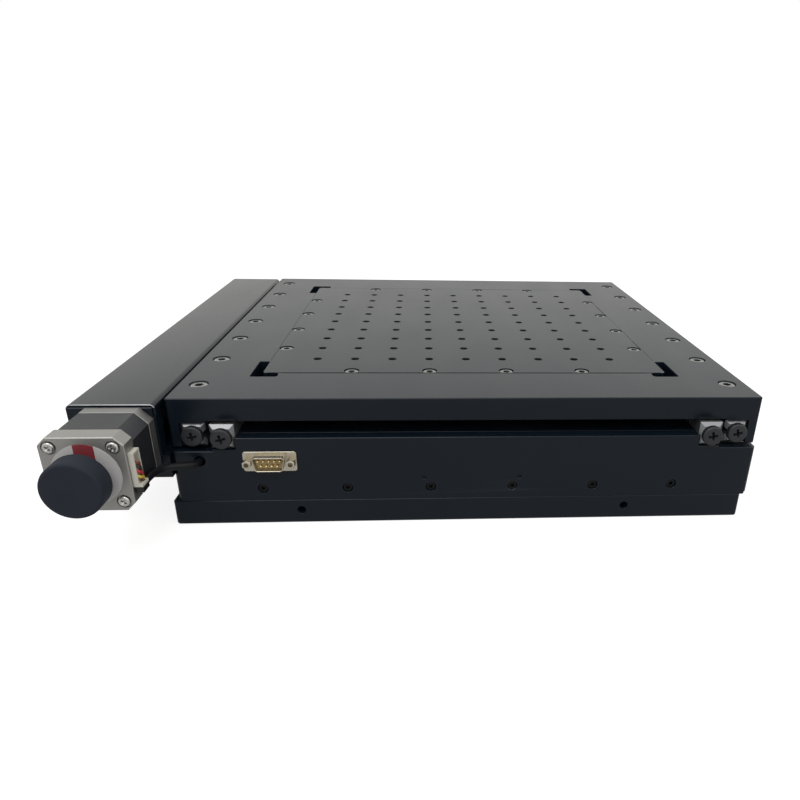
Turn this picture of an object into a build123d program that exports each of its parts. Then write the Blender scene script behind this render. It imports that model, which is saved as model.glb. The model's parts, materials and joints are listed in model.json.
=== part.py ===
"""Motorised linear translation stage with a side drive and crossed-roller guides.

The base stands on z = 0 with its middle at x = y = 0. The table travels along y, the
motor is at the front left, and all lengths are in millimetres.
"""
from build123d import *
from math import copysign, floor, pi, radians, sqrt, tan
import os

os.makedirs("parts", exist_ok=True)

# Overall: the sides and ends of base, table and rails are flush at mid travel
stage_width = 350.0
stage_length = 350.0

# Base: a foot plate, a ring-shaped body and two end plates
foot_thickness = 16.0
foot_shift_x = -3.5  # the foot plate stands proud on the drive side
foot_corner_radius = 2.0
foot_edge_radius = 1.5
seat_height = 34.0  # from the foot plate to the seat of the fixed rails
shoulder_drop = 1.3  # the side shoulders lie this far under the rail seats
spine_rise = 7.0  # the middle of the base rises this far over the rail seats
seam_height = 1.3  # shadow gap between foot and base
seam_depth = 1.5
base_wall = 55.0  # between the outside of the base and its central aperture
aperture_radius = 10.0
end_plate_thickness = 8.0
end_plate_corner = 3.0

# Crossed-roller guides
rail_width = 13.9
rail_height = 15.0
rail_gap = 3.2
rail_pitch = 50.0
rail_end_margin = 25.0  # least distance from a rail's end to its first bolt
rail_bolt_inset = 6.0  # from the rail's back to its bolt line
rail_end_chamfer = 2.2
groove_relief = 1.0
groove_relief_depth = 0.8
roller_seat_diameter = 6.0  # the size that the grooves are cut for
roller_clearance = 0.2
roller_length = 5.4
roller_pitch = 10.0
roller_tilt = 45.0
cage_margin = 60.0  # how much shorter than its rails a cage is
cage_thickness = 1.2
cage_height = 12.0
cage_end = 10.0
window_width = 6.2
window_height = 8.6

# Table, its skirts and its tapped insert
table_rest_y = 4.0  # the table rests this far behind the middle of the base
table_thickness = 15.0
table_relief = 1.0  # the slab's underside is this far over the rail pads
table_corner_radius = 1.5
table_edge_chamfer = 0.5
skirt_thickness = 6.0
pad_setback = 0.5
table_frame = 45.1  # width of the table around its insert
insert_thickness = 9.0
insert_radius = 3.0
insert_fit = 0.1
insert_ledge_width = 14.0
grid_pitch = 25.0
grid_margin = 25.0  # least distance from the insert's edge to the grid
grid_hole_radius = 2.5
grid_mouth = 0.45  # width of the countersink round a tapped hole
insert_screw_inset = 4.9
insert_screw_steps = (25.0, 75.0)
slot_width = 6.7
slot_reach_y = 30.7
slot_reach_x = 16.7
slot_radius = 1.5

# Screws: head diameter, head height and shank diameter of each size
m3_head, m3_head_height, m3_shank = 5.5, 3.0, 2.9
m4_head, m4_head_height, m4_shank = 7.0, 4.0, 3.9
m5_head, m5_head_height, m5_shank = 8.5, 5.0, 4.9
m6_head, m6_head_height, m6_shank = 10.0, 6.0, 5.9
thread_fit = 0.05  # radial gap round a shank in its hole
bore_fit = 0.6  # radial gap round a head in its counterbore
flush_depth = 0.5  # a head lies this far under its counterbore's mouth
end_screw_sink = 1.0
rail_screw_sink = 2.0
end_screw_head = 13.2
end_screw_height = 3.2
end_screw_crown = 1.2
end_screw_depth = 10.0
pan_head = 6.0
pan_head_height = 2.2
pan_head_crown = 0.9
pan_recess = 1.2

# How far each screw reaches into what it holds
front_screw_grip = 10.0
foot_screw_grip = 10.0
inner_screw_grip = 12.0
outer_screw_grip = 8.0
insert_ledge_grip = 4.5
bed_screw_grip = 8.0
lid_screw_grip = 5.0
plate_screw_grip = 9.0
block_screw_grip = 8.0
motor_screw_grip = 4.5

# Fixings of the base
front_screw_rise = 8.0  # over the foot plate
front_screw_steps = (25.0, 75.0, 125.0)
front_bore_fit = 0.25  # the end plates' bores fit their heads closely
dowel_x = 29.0
dowel_rise = 14.5
dowel_diameter = 2.4
dowel_length = 15.0
dowel_recess = 0.8
foot_screw_inset = 25.0
bench_hole_pitch = 200.0
bench_hole_radius = 3.3
accessory_pitch = 200.0
accessory_z = 9.0
accessory_depth = 14.0

# Side drive: bed, end plates and lid
drive_gap = 3.5  # from the side of the base to the lid
drive_width = 48.0
drive_height = 45.0
drive_drop = 1.5  # the lid's top lies this far under the table's
drive_front_reach = 2.0  # beyond the front of the base
drive_rear_reach = 9.0
drive_plate_thickness = 8.0
lid_thickness = 1.5
lid_bend = 3.0
lid_setback = 0.8
lid_lip = 6.5
bed_floor = 8.0
bed_web = 8.0
bed_web_drop = 1.0  # the web's top lies this far under the rail seats
bed_screw_drop = 3.8
plate_screw_x = 7.0
block_screw_x = 12.4
bed_screw_count = 5
bed_screw_inset = 35.0
lid_screw_count = 4
lid_screw_inset = 25.0

# Motor, in line with the drive screw
axis_reach = 25.7  # from the side of the base to the drive axis
axis_height = 22.7  # from the bottom of the drive to the drive axis
motor_width = 42.0
motor_flange = 8.0
motor_stack_length = 22.0
motor_bell = 10.7
motor_flange_chamfer = 6.5
motor_bell_chamfer = 4.5
motor_bolt_pitch = 31.0
motor_pilot = 22.0
motor_pilot_height = 2.0
motor_shaft_diameter = 5.0
motor_shaft_front = 24.0  # shaft beyond the mounting face
rotor_diameter = 24.0
air_gap = 0.3
label_diameter = 34.6
label_thickness = 0.3
label_bore = 8.0
knob_diameter = 30.6
knob_thickness = 12.5
knob_gap = 5.8  # from the motor's rear face to the knob
knob_edge = 1.6
knob_bore_depth = 9.0

# Drive screw, its bearings, coupling and nut
screw_diameter = 10.0
journal_diameter = 8.0
coupling_journal = 6.0
screw_setback = 27.0  # from the drive's front to the screw's end
shoulder_gap = 1.0
lock_nut_gap = 0.2
bearing_outer = 22.0
bearing_width = 7.0
bearing_race = 2.0
shield_thickness = 0.8
front_block_setback = 43.0
front_block_length = 18.0
rear_block_setback = 38.0
rear_block_length = 12.0
block_width = 31.0
block_height_over_axis = 14.0
block_chamfer = 2.0
lock_nut_diameter = 14.0
lock_nut_length = 3.4
coupling_diameter = 19.0
coupling_setback = 13.0
coupling_length = 25.0
coupling_core = 12.0
coupling_slit = 1.0
coupling_slits = 3
bore_overrun = 1.0
running_gap = 0.1
nut_diameter = 20.0
nut_length = 28.0
nut_flange_diameter = 32.0
nut_flange_length = 6.0
nut_flange_flat = 13.0
nut_screw_circle = 26.0
nut_screw_angle = 30.0
nut_screw_count = 4
bracket_half_length = 16.0
bracket_flange_half = 30.0
bracket_flange_thickness = 9.0
bracket_half_width = 16.5
bracket_floor_gap = 1.5
bracket_lip_gap = 2.0
bracket_screw_y = 24.0
bracket_screw_rise = 4.5  # over the skirt's lower edge
bracket_screw_drop = 3.0
bracket_screw_grip = 5.0
switch_size = (6.0, 20.0, 10.5)
switch_lever = (2.6, 1.2, 5.0)
switch_lever_gap = 0.6
switch_wall_gap = 0.1
travel_front = 54.0
travel_rear = 46.0

# Signal connector, motor plug and cable
connector_inset = 56.0  # from the side of the base
connector_drop = 6.2  # from the shoulders of the base
connector_flange = (30.8, 12.5)
connector_flange_thickness = 1.0
connector_flange_radius = 1.5
shell_width = 16.9
shell_height = 8.3
shell_slant = 0.75
shell_corner = 1.6
shell_reach = 6.0
shell_wall = 0.5
insulator_sink = 3.6
insulator_rear = 9.0
cutout_margin = 0.6
pin_diameter = 1.0
pin_pitch = 2.77
pin_row_gap = 2.84
pin_reach = 4.9
pin_tail = 2.0
standoff_pitch = 25.0
standoff_across_flats = 4.8
standoff_length = 5.0
standoff_shank = 2.7
pocket_width = 68.0
pocket_height = 12.5
pocket_depth = 13.5
pocket_shift_x = -15.0  # from the middle of the connector
pocket_shift_z = -2.0
cable_hole_inset = 15.8
cable_hole_drop = 6.1
cable_hole_radius = 3.1
cable_diameter = 4.2
cable_route = (
    (-177.5, -207.5, 46.8),
    (-177.5, -198.0, 46.8),
    (-173.6, -187.5, 45.4),
    (-164.0, -183.0, 43.8),
    (-159.2, -177.2, 42.6),
    (-159.1, -166.6, 42.5),
    (-155.4, -158.8, 41.8),
)
plug_height = 22.0
plug_drop = 11.2  # from the drive axis to the plug's lower end
plug_front_wall = 2.5
plug_rear_wall = 0.5
plug_sink = 4.0
plug_proud = 2.5
plug_wall = 1.0
plug_pocket = 4.5
boot_height = 4.8
boot_drop = 11.8
boot_proud = 4.4

# Places worked out from the sizes above
rail_seat_z = foot_thickness + seat_height
shoulder_z = rail_seat_z - shoulder_drop
spine_z = rail_seat_z + spine_rise
rail_top_z = rail_seat_z + rail_height
guide_z = rail_seat_z + rail_height / 2
slab_z = rail_top_z + table_relief
table_z = rail_top_z + table_thickness
outer_back_x = stage_width / 2 - skirt_thickness
outer_face_x = outer_back_x - rail_width
guide_x = outer_face_x - rail_gap / 2
inner_face_x = guide_x - rail_gap / 2
inner_back_x = inner_face_x - rail_width
base_front = -stage_length / 2
base_side = stage_width / 2
table_front = table_rest_y - stage_length / 2
insert_z = table_z - insert_thickness
insert_width = stage_width - 2 * table_frame
insert_length = stage_length - 2 * table_frame
cage_rest_y = table_rest_y / 2
rail_bolts = floor((stage_length - 2 * rail_end_margin) / rail_pitch) + 1
roller_count = floor((stage_length - cage_margin - cage_end) / roller_pitch)
drive_right = -base_side - drive_gap
drive_left = drive_right - drive_width
drive_top = table_z - drive_drop
drive_bottom = drive_top - drive_height
drive_front = base_front - drive_front_reach
drive_rear = -base_front + drive_rear_reach
motor_x = -base_side - axis_reach
motor_z = drive_bottom + axis_height
lid_underside = drive_top - lid_thickness
lid_lip_bottom = drive_top - lid_lip
plate_left = drive_left + lid_thickness
bed_front = drive_front + drive_plate_thickness
bed_rear = drive_rear - drive_plate_thickness
bed_top = drive_bottom + bed_floor
bed_web_top = rail_seat_z - bed_web_drop
flange_rear = drive_front - motor_flange
stack_rear = flange_rear - motor_stack_length
bell_rear = stack_rear - motor_bell
knob_rear = bell_rear - knob_gap
knob_front = knob_rear - knob_thickness
motor_side = motor_x + motor_width / 2
connector_x = -base_side + connector_inset
connector_z = shoulder_z - connector_drop
cable_hole_x = -base_side + cable_hole_inset
cable_hole_z = shoulder_z - cable_hole_drop


def front_plane(y):
    """Upright plane at y, seen from the front: x to the right, z up."""
    return Plane.XZ.offset(-y)


def rear_plane(y):
    """Upright plane at y, seen from behind."""
    return Plane(origin=(0, y, 0), x_dir=(-1, 0, 0), z_dir=(0, 1, 0))


def left_plane(x):
    """Upright plane at x, seen from the left: its x runs along -y, and z is up."""
    return Plane(origin=(x, 0, 0), x_dir=(0, -1, 0), z_dir=(-1, 0, 0))


def under_plane(z):
    """Level plane at z, seen from below: its y runs along -y."""
    return Plane(origin=(0, 0, z), x_dir=(1, 0, 0), z_dir=(0, 0, -1))


def axis_plane(y):
    """Upright plane at y whose middle is the drive axis, seen from the front."""
    return Plane(origin=(motor_x, y, motor_z), x_dir=(1, 0, 0), z_dir=(0, -1, 0))


def write(piece, name):
    """Label a finished piece and write it as one STEP file."""
    piece.part.label = name
    export_step(piece.part, f"parts/{name}.step")


def screws(seats, head, head_height, shank, length, crown=0.0):
    """Screws whose heads stand on the seats, each seat a plane and its points."""
    with BuildPart() as group:
        for plane, points in seats:
            with BuildSketch(plane):
                with Locations(*points):
                    Circle(head / 2)
            extrude(amount=head_height)
            if crown:
                outward = Axis(plane.origin, plane.z_dir)
                fillet(group.edges(Select.LAST).group_by(outward)[-1], crown)
            with BuildSketch(plane):
                with Locations(*points):
                    Circle(shank / 2)
            extrude(amount=-length)
    return group


def bored(plane, points, shank, head, depth, through, fit=bore_fit):
    """Cut counterbored screw holes into the part that is being built."""
    with Locations(plane):
        with Locations(*points):
            CounterBoreHole(shank / 2 + thread_fit, head / 2 + fit, depth, through)


def drilled(plane, points, radius, depth):
    """Cut plain holes into the part that is being built."""
    with Locations(plane):
        with Locations(*points):
            Hole(radius, depth)


def corners_of(width, length):
    """The four corners of a rectangular pattern."""
    x, y = width / 2, length / 2
    return [(-x, -y), (x, -y), (x, y), (-x, y)]


def spaced(count, length):
    """Places of this many holes, evenly spread over a length about zero."""
    return [(n / (count - 1) - 0.5) * length for n in range(count)]


# ---------------------------------------------------------------- base
front_screw_z = foot_thickness + front_screw_rise
front_screw_points = [(side * x, front_screw_z) for x in front_screw_steps for side in (-1, 1)]
dowel_points = [(side * dowel_x, foot_thickness + dowel_rise) for side in (-1, 1)]
foot_screw_points = corners_of(stage_width - 2 * foot_screw_inset, stage_length - 2 * foot_screw_inset)
bench_points = corners_of(bench_hole_pitch, bench_hole_pitch)
rail_steps = spaced(rail_bolts, (rail_bolts - 1) * rail_pitch)
inner_bolt_x = inner_back_x + rail_bolt_inset
outer_bolt_x = outer_back_x - rail_bolt_inset
inner_bolt_points = [(side * inner_bolt_x, y) for side in (-1, 1) for y in rail_steps]
outer_bolt_points = [(side * outer_bolt_x, y + table_rest_y) for side in (-1, 1) for y in rail_steps]


def base_outline():
    """Front view of the base: seam, side shoulders, rail seats and raised middle."""
    pad = inner_face_x - pad_setback
    half = [
        (base_side - seam_depth, foot_thickness),
        (base_side - seam_depth, foot_thickness + seam_height),
        (base_side, foot_thickness + seam_height),
        (base_side, shoulder_z),
        (pad, shoulder_z),
        (pad, rail_seat_z),
        (inner_back_x, rail_seat_z),
        (inner_back_x, spine_z),
    ]
    return half + [(-x, z) for x, z in reversed(half)]


def mirrored(points):
    """The same points for a plane that is seen from the other end."""
    return [(-x, z) for x, z in points]


with BuildPart() as base_plate:
    with BuildSketch():
        with Locations((foot_shift_x, 0)):
            Rectangle(stage_width, stage_length)
    extrude(amount=foot_thickness)
    fillet(base_plate.edges().filter_by(Axis.Z), foot_corner_radius)
    fillet(base_plate.faces().sort_by(Axis.Z)[0].edges(), foot_edge_radius)
    bench_bore = m6_head_height + flush_depth
    bored(Plane.XY.offset(foot_thickness), bench_points, 2 * (bench_hole_radius - thread_fit), m6_head,
          bench_bore, foot_thickness)
    foot_bore = m5_head_height + flush_depth
    bored(under_plane(0), foot_screw_points, m5_shank, m5_head, foot_bore, foot_thickness)
    accessory_points = [
        (foot_shift_x - accessory_pitch / 2, accessory_z),
        (foot_shift_x + accessory_pitch / 2, accessory_z),
    ]
    drilled(front_plane(base_front), accessory_points, grid_hole_radius, accessory_depth)
write(base_plate, "base_plate")

foot_screw_seat = under_plane(foot_bore)
base_plate_screws = screws([(foot_screw_seat, foot_screw_points)], m5_head, m5_head_height,
                           m5_shank, foot_thickness - foot_bore + foot_screw_grip)
write(base_plate_screws, "base_plate_screws")

body_front = base_front + end_plate_thickness
front_thread = m3_shank / 2 + thread_fit
dowel_hole = dowel_diameter / 2 + thread_fit
dowel_depth = dowel_length + dowel_recess - end_plate_thickness
bed_screw_z = bed_web_top - bed_screw_drop
bed_points = [(-y, bed_screw_z) for y in spaced(bed_screw_count, stage_length - 2 * bed_screw_inset)]
with BuildPart() as base_body:
    with BuildSketch(front_plane(body_front)):
        Polygon(*base_outline(), align=None)
    extrude(amount=2 * body_front)
    with BuildSketch(Plane.XY.offset(foot_thickness)):
        RectangleRounded(stage_width - 2 * base_wall, stage_length - 2 * base_wall, aperture_radius)
    extrude(amount=spine_z, mode=Mode.SUBTRACT)
    with BuildSketch(front_plane(body_front)):
        with Locations((connector_x + pocket_shift_x, connector_z + pocket_shift_z)):
            Rectangle(pocket_width, pocket_height)
    extrude(amount=-pocket_depth, mode=Mode.SUBTRACT)
    drilled(under_plane(foot_thickness), foot_screw_points, m5_shank / 2 + thread_fit, foot_screw_grip)
    drilled(Plane.XY.offset(rail_seat_z), inner_bolt_points, m5_shank / 2 + thread_fit, inner_screw_grip)
    for end_plane in (front_plane(body_front), rear_plane(-body_front)):
        drilled(end_plane, front_screw_points, front_thread, front_screw_grip)
        drilled(end_plane, dowel_points, dowel_hole, dowel_depth)
    drilled(left_plane(-base_side), bed_points, m4_shank / 2 + thread_fit, bed_screw_grip)
write(base_body, "base_body")

end_bore_depth = m3_head_height + end_screw_sink


def end_plate(outer_plane):
    """An end plate of the base with its screw bores, dowel holes and rounded corners."""
    outward = Axis(outer_plane.origin, outer_plane.z_dir)
    with BuildPart() as plate:
        with BuildSketch(outer_plane):
            Polygon(*base_outline(), align=None)
        extrude(amount=-end_plate_thickness)
        uprights = plate.edges().filter_by(Axis.Z).group_by(outward)[-1].sort_by(Axis.X)
        fillet([uprights[0], uprights[-1]], end_plate_corner)
        bored(outer_plane, front_screw_points, m3_shank, m3_head, end_bore_depth,
              end_plate_thickness, front_bore_fit)
        drilled(outer_plane, dowel_points, dowel_hole, end_plate_thickness)
    return plate


def connector_outline(margin):
    """Corners of the signal connector's D shape, wide side up, grown by a margin."""
    half_width = shell_width / 2 + margin
    half_height = shell_height / 2 + margin
    narrow = half_width - 2 * shell_slant
    return [
        (-half_width, half_height),
        (half_width, half_height),
        (narrow, -half_height),
        (-narrow, -half_height),
    ]


standoff_points = [(connector_x + side * standoff_pitch / 2, connector_z) for side in (-1, 1)]
with BuildPart() as front_end_plate:
    add(end_plate(front_plane(base_front)).part)
    with BuildSketch(front_plane(base_front)):
        with Locations((connector_x, connector_z)):
            Polygon(*connector_outline(cutout_margin), align=None)
    extrude(amount=-end_plate_thickness, mode=Mode.SUBTRACT)
    drilled(front_plane(base_front), standoff_points, standoff_shank / 2 + thread_fit, end_plate_thickness)
    drilled(front_plane(base_front), [(cable_hole_x, cable_hole_z)], cable_hole_radius, end_plate_thickness)
write(front_end_plate, "front_end_plate")

rear_end_plate = end_plate(rear_plane(-base_front))
write(rear_end_plate, "rear_end_plate")

end_screw_seats = [
    (front_plane(base_front + end_bore_depth), front_screw_points),
    (rear_plane(-base_front - end_bore_depth), front_screw_points),
]
end_screw_length = end_plate_thickness - end_bore_depth + front_screw_grip
end_plate_screws = screws(end_screw_seats, m3_head, m3_head_height, m3_shank, end_screw_length)
write(end_plate_screws, "end_plate_screws")

with BuildPart() as dowel_pins:
    for pin_plane in (front_plane(base_front + dowel_recess), rear_plane(-base_front - dowel_recess)):
        with BuildSketch(pin_plane):
            with Locations(*dowel_points):
                Circle(dowel_diameter / 2)
        extrude(amount=-dowel_length)
write(dowel_pins, "dowel_pins")


# ---------------------------------------------------------------- crossed-roller guides
def guide_rail(face_x, back_x, middle_y, bore_plane, bolt_points):
    """A ground rail with a V groove in its face and counterbored screw holes."""
    backwards = copysign(1, back_x - face_x)
    front = front_plane(middle_y - stage_length / 2)
    apex = face_x - backwards * rail_gap / 2 + backwards * roller_seat_diameter / sqrt(2)
    mouth = face_x - backwards * rail_gap / 2
    mouth_half = abs(apex - mouth)
    relief_half = groove_relief / 2
    relief_end = apex + backwards * groove_relief_depth
    with BuildPart() as rail:
        with BuildSketch(front):
            with Locations(((face_x + back_x) / 2, guide_z)):
                Rectangle(rail_width, rail_height)
        extrude(amount=-stage_length)
        ends = rail.faces().sort_by(Axis.Y)
        chamfer(ends[0].edges() + ends[-1].edges(), rail_end_chamfer)
        with BuildSketch(front):
            Polygon(
                (mouth, guide_z - mouth_half),
                (apex - backwards * relief_half, guide_z - relief_half),
                (relief_end, guide_z - relief_half),
                (relief_end, guide_z + relief_half),
                (apex - backwards * relief_half, guide_z + relief_half),
                (mouth, guide_z + mouth_half),
                align=None,
            )
        extrude(amount=-stage_length, mode=Mode.SUBTRACT)
        for end_plane in (front, rear_plane(middle_y + stage_length / 2)):
            end_x = end_plane.x_dir.X * (face_x + back_x) / 2
            drilled(end_plane, [(end_x, guide_z)], m5_shank / 2 + thread_fit, end_screw_depth)
        bored(bore_plane, bolt_points, m6_shank, m5_head, rail_bore, rail_height)
    return rail


rail_bore = m5_head_height + flush_depth
inner_middle_x = (inner_face_x + inner_back_x) / 2
outer_middle_x = (outer_face_x + outer_back_x) / 2
for side, side_name in ((-1, "left"), (1, "right")):
    inner_points = [(side * inner_bolt_x, y) for y in rail_steps]
    inner_rail = guide_rail(side * inner_face_x, side * inner_back_x, 0, Plane.XY.offset(rail_top_z),
                            inner_points)
    write(inner_rail, f"inner_rail_{side_name}")
    outer_points = [(side * outer_bolt_x, -y - table_rest_y) for y in rail_steps]
    outer_rail = guide_rail(side * outer_face_x, side * outer_back_x, table_rest_y,
                            under_plane(rail_seat_z), outer_points)
    write(outer_rail, f"outer_rail_{side_name}")

    rail_plane = left_plane(side * guide_x + cage_thickness / 2)
    roller_steps = [y + cage_rest_y for y in spaced(roller_count, (roller_count - 1) * roller_pitch)]
    cage_length = roller_count * roller_pitch + cage_end
    with BuildPart() as roller_cage:
        with BuildSketch(rail_plane):
            with Locations((-cage_rest_y, guide_z)):
                Rectangle(cage_length, cage_height)
            with Locations(*[(-y, guide_z) for y in roller_steps]):
                Rectangle(window_width, window_height, mode=Mode.SUBTRACT)
        extrude(amount=cage_thickness)
    write(roller_cage, f"roller_cage_{side_name}")

    with BuildPart() as rollers:
        for index, y in enumerate(roller_steps):
            tilt = roller_tilt if index % 2 == 0 else -roller_tilt
            with Locations(Location((side * guide_x, y, guide_z), (0, tilt, 0))):
                Cylinder(roller_seat_diameter / 2 - roller_clearance, roller_length)
    write(rollers, f"rollers_{side_name}")

inner_rail_screws = screws([(Plane.XY.offset(rail_top_z - rail_bore), inner_bolt_points)], m5_head,
                           m5_head_height, m5_shank, rail_height - rail_bore + inner_screw_grip)
write(inner_rail_screws, "inner_rail_screws")


def rail_end_screws(middle_x, middle_y):
    """Pan-head screws that close both ends of a pair of rails and stop the cages."""
    front = front_plane(middle_y - stage_length / 2)
    rear = rear_plane(middle_y + stage_length / 2)
    points = [(-middle_x, guide_z), (middle_x, guide_z)]
    return screws([(front, points), (rear, points)], end_screw_head, end_screw_height, m5_shank,
                  end_screw_depth, end_screw_crown)


base_rail_end_screws = rail_end_screws(inner_middle_x, 0)
write(base_rail_end_screws, "base_rail_end_screws")
table_rail_end_screws = rail_end_screws(outer_middle_x, table_rest_y)
write(table_rail_end_screws, "table_rail_end_screws")

# ---------------------------------------------------------------- table
insert_screw_x = insert_width / 2 - insert_screw_inset
insert_screw_y = insert_length / 2 - insert_screw_inset
insert_screw_points = [
    (x * side_x, y * side_y + table_rest_y)
    for step in insert_screw_steps
    for x, y in ((step, insert_screw_y), (insert_screw_x, step))
    for side_x in (-1, 1)
    for side_y in (-1, 1)
]
bracket_top = lid_lip_bottom - bracket_lip_gap
bracket_hole_points = [
    (-(table_rest_y + side * bracket_screw_y), z)
    for side in (-1, 1)
    for z in (rail_seat_z + bracket_screw_rise, bracket_top - bracket_screw_drop)
]
table_bore = m6_head_height + rail_screw_sink
opening_half_x = insert_width / 2 + insert_fit
opening_half_y = insert_length / 2 + insert_fit
skirt_inner = outer_back_x
pad_inner = outer_face_x - pad_setback


def table_outline():
    """Front view of the table: slab, rail pads and side skirts."""
    half = [
        (pad_inner, slab_z),
        (pad_inner, rail_top_z),
        (skirt_inner, rail_top_z),
        (skirt_inner, rail_seat_z),
        (stage_width / 2, rail_seat_z),
        (stage_width / 2, table_z),
    ]
    return half + [(-x, z) for x, z in reversed(half)]


with BuildPart() as table_plate:
    with BuildSketch(front_plane(table_front)):
        Polygon(*table_outline(), align=None)
    extrude(amount=-stage_length)
    corners = table_plate.edges().filter_by(Axis.Z).group_by(Axis.X)
    fillet(corners[0] + corners[-1], table_corner_radius)
    chamfer(table_plate.faces().sort_by(Axis.Z)[-1].edges(), table_edge_chamfer)
    with BuildSketch(Plane.XY.offset(insert_z)):
        with Locations((0, table_rest_y)):
            Rectangle(2 * opening_half_x, 2 * opening_half_y)
    extrude(amount=insert_thickness, mode=Mode.SUBTRACT)
    with BuildSketch(Plane.XY.offset(slab_z)):
        with Locations((0, table_rest_y)):
            RectangleRounded(2 * (opening_half_x - insert_ledge_width),
                             2 * (opening_half_y - insert_ledge_width), aperture_radius)
    extrude(amount=insert_thickness, mode=Mode.SUBTRACT)
    with BuildSketch(Plane.XY.offset(slab_z)):
        slot_edge_x = opening_half_x + slot_width
        slot_edge_y = opening_half_y + slot_width
        for side_x in (-1, 1):
            for side_y in (-1, 1):
                with Locations((side_x * (slot_edge_x - slot_width / 2),
                                table_rest_y + side_y * (slot_edge_y - slot_reach_y / 2))):
                    RectangleRounded(slot_width, slot_reach_y, slot_radius)
                with Locations((side_x * (slot_edge_x - slot_reach_x / 2),
                                table_rest_y + side_y * (slot_edge_y - slot_width / 2))):
                    RectangleRounded(slot_reach_x, slot_width, slot_radius)
    extrude(amount=table_thickness, mode=Mode.SUBTRACT)
    bored(Plane.XY.offset(table_z), outer_bolt_points, m6_shank, m6_head, table_bore, table_thickness)
    drilled(Plane.XY.offset(insert_z), insert_screw_points, m5_shank / 2 + thread_fit, insert_thickness)
    drilled(left_plane(-stage_width / 2), bracket_hole_points, m4_shank / 2 + thread_fit, bracket_screw_grip)
write(table_plate, "table_plate")

insert_bore = m5_head_height + flush_depth
grid_columns = floor((insert_width - 2 * grid_margin) / grid_pitch) + 1
grid_rows = floor((insert_length - 2 * grid_margin) / grid_pitch) + 1
with BuildPart() as insert_plate:
    with BuildSketch(Plane.XY.offset(insert_z)):
        with Locations((0, table_rest_y)):
            RectangleRounded(insert_width, insert_length, insert_radius)
    extrude(amount=insert_thickness)
    with Locations((0, table_rest_y, table_z)):
        with GridLocations(grid_pitch, grid_pitch, grid_columns, grid_rows):
            CounterSinkHole(grid_hole_radius, grid_hole_radius + grid_mouth, insert_thickness, 90)
    bored(Plane.XY.offset(table_z), insert_screw_points, m5_shank, m5_head, insert_bore, insert_thickness)
write(insert_plate, "insert_plate")

insert_screws = screws([(Plane.XY.offset(table_z - insert_bore), insert_screw_points)], m5_head,
                       m5_head_height, m5_shank, insert_thickness - insert_bore + insert_ledge_grip)
write(insert_screws, "insert_screws")
outer_rail_screws = screws([(Plane.XY.offset(table_z - table_bore), outer_bolt_points)], m6_head,
                           m6_head_height, m6_shank, table_thickness - table_bore + outer_screw_grip)
write(outer_rail_screws, "outer_rail_screws")

# ---------------------------------------------------------------- side drive: bed, plates and lid
bed_bore = m4_head_height + flush_depth / 2
floor_middle_z = drive_bottom + bed_floor / 2
lid_points = [(-y, floor_middle_z) for y in spaced(lid_screw_count, stage_length - 2 * lid_screw_inset)]
plate_screw_points = [(motor_x + side * plate_screw_x, floor_middle_z) for side in (-1, 1)]
front_block_start = drive_front + front_block_setback
rear_block_start = drive_rear - rear_block_setback
front_block_points = [(motor_x + side * block_screw_x, front_block_start + front_block_length / 2)
                      for side in (-1, 1)]
rear_block_points = [(motor_x + side * block_screw_x, rear_block_start + rear_block_length / 2)
                     for side in (-1, 1)]
block_points = [(x, -y) for x, y in front_block_points + rear_block_points]
block_bore = m4_head_height + flush_depth / 2
with BuildPart() as drive_bed:
    with BuildSketch(front_plane(bed_front)):
        Polygon(
            (plate_left, drive_bottom),
            (-base_side, drive_bottom),
            (-base_side, bed_web_top),
            (-base_side - bed_web, bed_web_top),
            (-base_side - bed_web, bed_top),
            (plate_left, bed_top),
            align=None,
        )
    extrude(amount=-(bed_rear - bed_front))
    bored(left_plane(-base_side - bed_web), bed_points, m4_shank, m4_head, bed_bore, bed_web, thread_fit)
    bored(under_plane(drive_bottom), block_points, m4_shank, m4_head, block_bore, bed_floor, thread_fit)
    drilled(left_plane(plate_left), lid_points, m3_shank / 2 + thread_fit, lid_screw_grip)
    drilled(front_plane(bed_front), plate_screw_points, m4_shank / 2 + thread_fit, plate_screw_grip)
    drilled(rear_plane(bed_rear), mirrored(plate_screw_points), m4_shank / 2 + thread_fit, plate_screw_grip)
write(drive_bed, "drive_bed")
drive_bed_screws = screws([(left_plane(-base_side - bed_web + bed_bore), bed_points)], m4_head,
                          m4_head_height, m4_shank, bed_web - bed_bore + bed_screw_grip)
write(drive_bed_screws, "drive_bed_screws")


def drive_plate_outline():
    """Front view of a drive end plate; its foot reaches in to the base's side."""
    return [
        (plate_left, drive_bottom),
        (-base_side, drive_bottom),
        (-base_side, bed_web_top - shoulder_drop),
        (drive_right, bed_web_top - shoulder_drop),
        (drive_right, lid_lip_bottom),
        (drive_right - lid_thickness, lid_lip_bottom),
        (drive_right - lid_thickness, lid_underside),
        (plate_left, lid_underside),
    ]


plate_bore = m4_head_height + flush_depth
with BuildPart() as drive_front_plate:
    with BuildSketch(front_plane(drive_front)):
        Polygon(*drive_plate_outline(), align=None)
    extrude(amount=-drive_plate_thickness)
    top_front = drive_front_plate.edges().filter_by(Axis.X).group_by(Axis.Z)[-1].sort_by(Axis.Y)[0]
    chamfer(top_front, table_edge_chamfer)
    drilled(front_plane(drive_front), [(motor_x, motor_z)], motor_pilot / 2 + running_gap,
            drive_plate_thickness)
    bored(front_plane(drive_front), plate_screw_points, m4_shank, m4_head, plate_bore,
          drive_plate_thickness, thread_fit)
    motor_bolts = [(motor_x + x, motor_z + z) for x, z in corners_of(motor_bolt_pitch, motor_bolt_pitch)]
    bored(rear_plane(bed_front), mirrored(motor_bolts), m3_shank, m3_head, m3_head_height,
          drive_plate_thickness, front_bore_fit)
write(drive_front_plate, "drive_front_plate")

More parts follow.
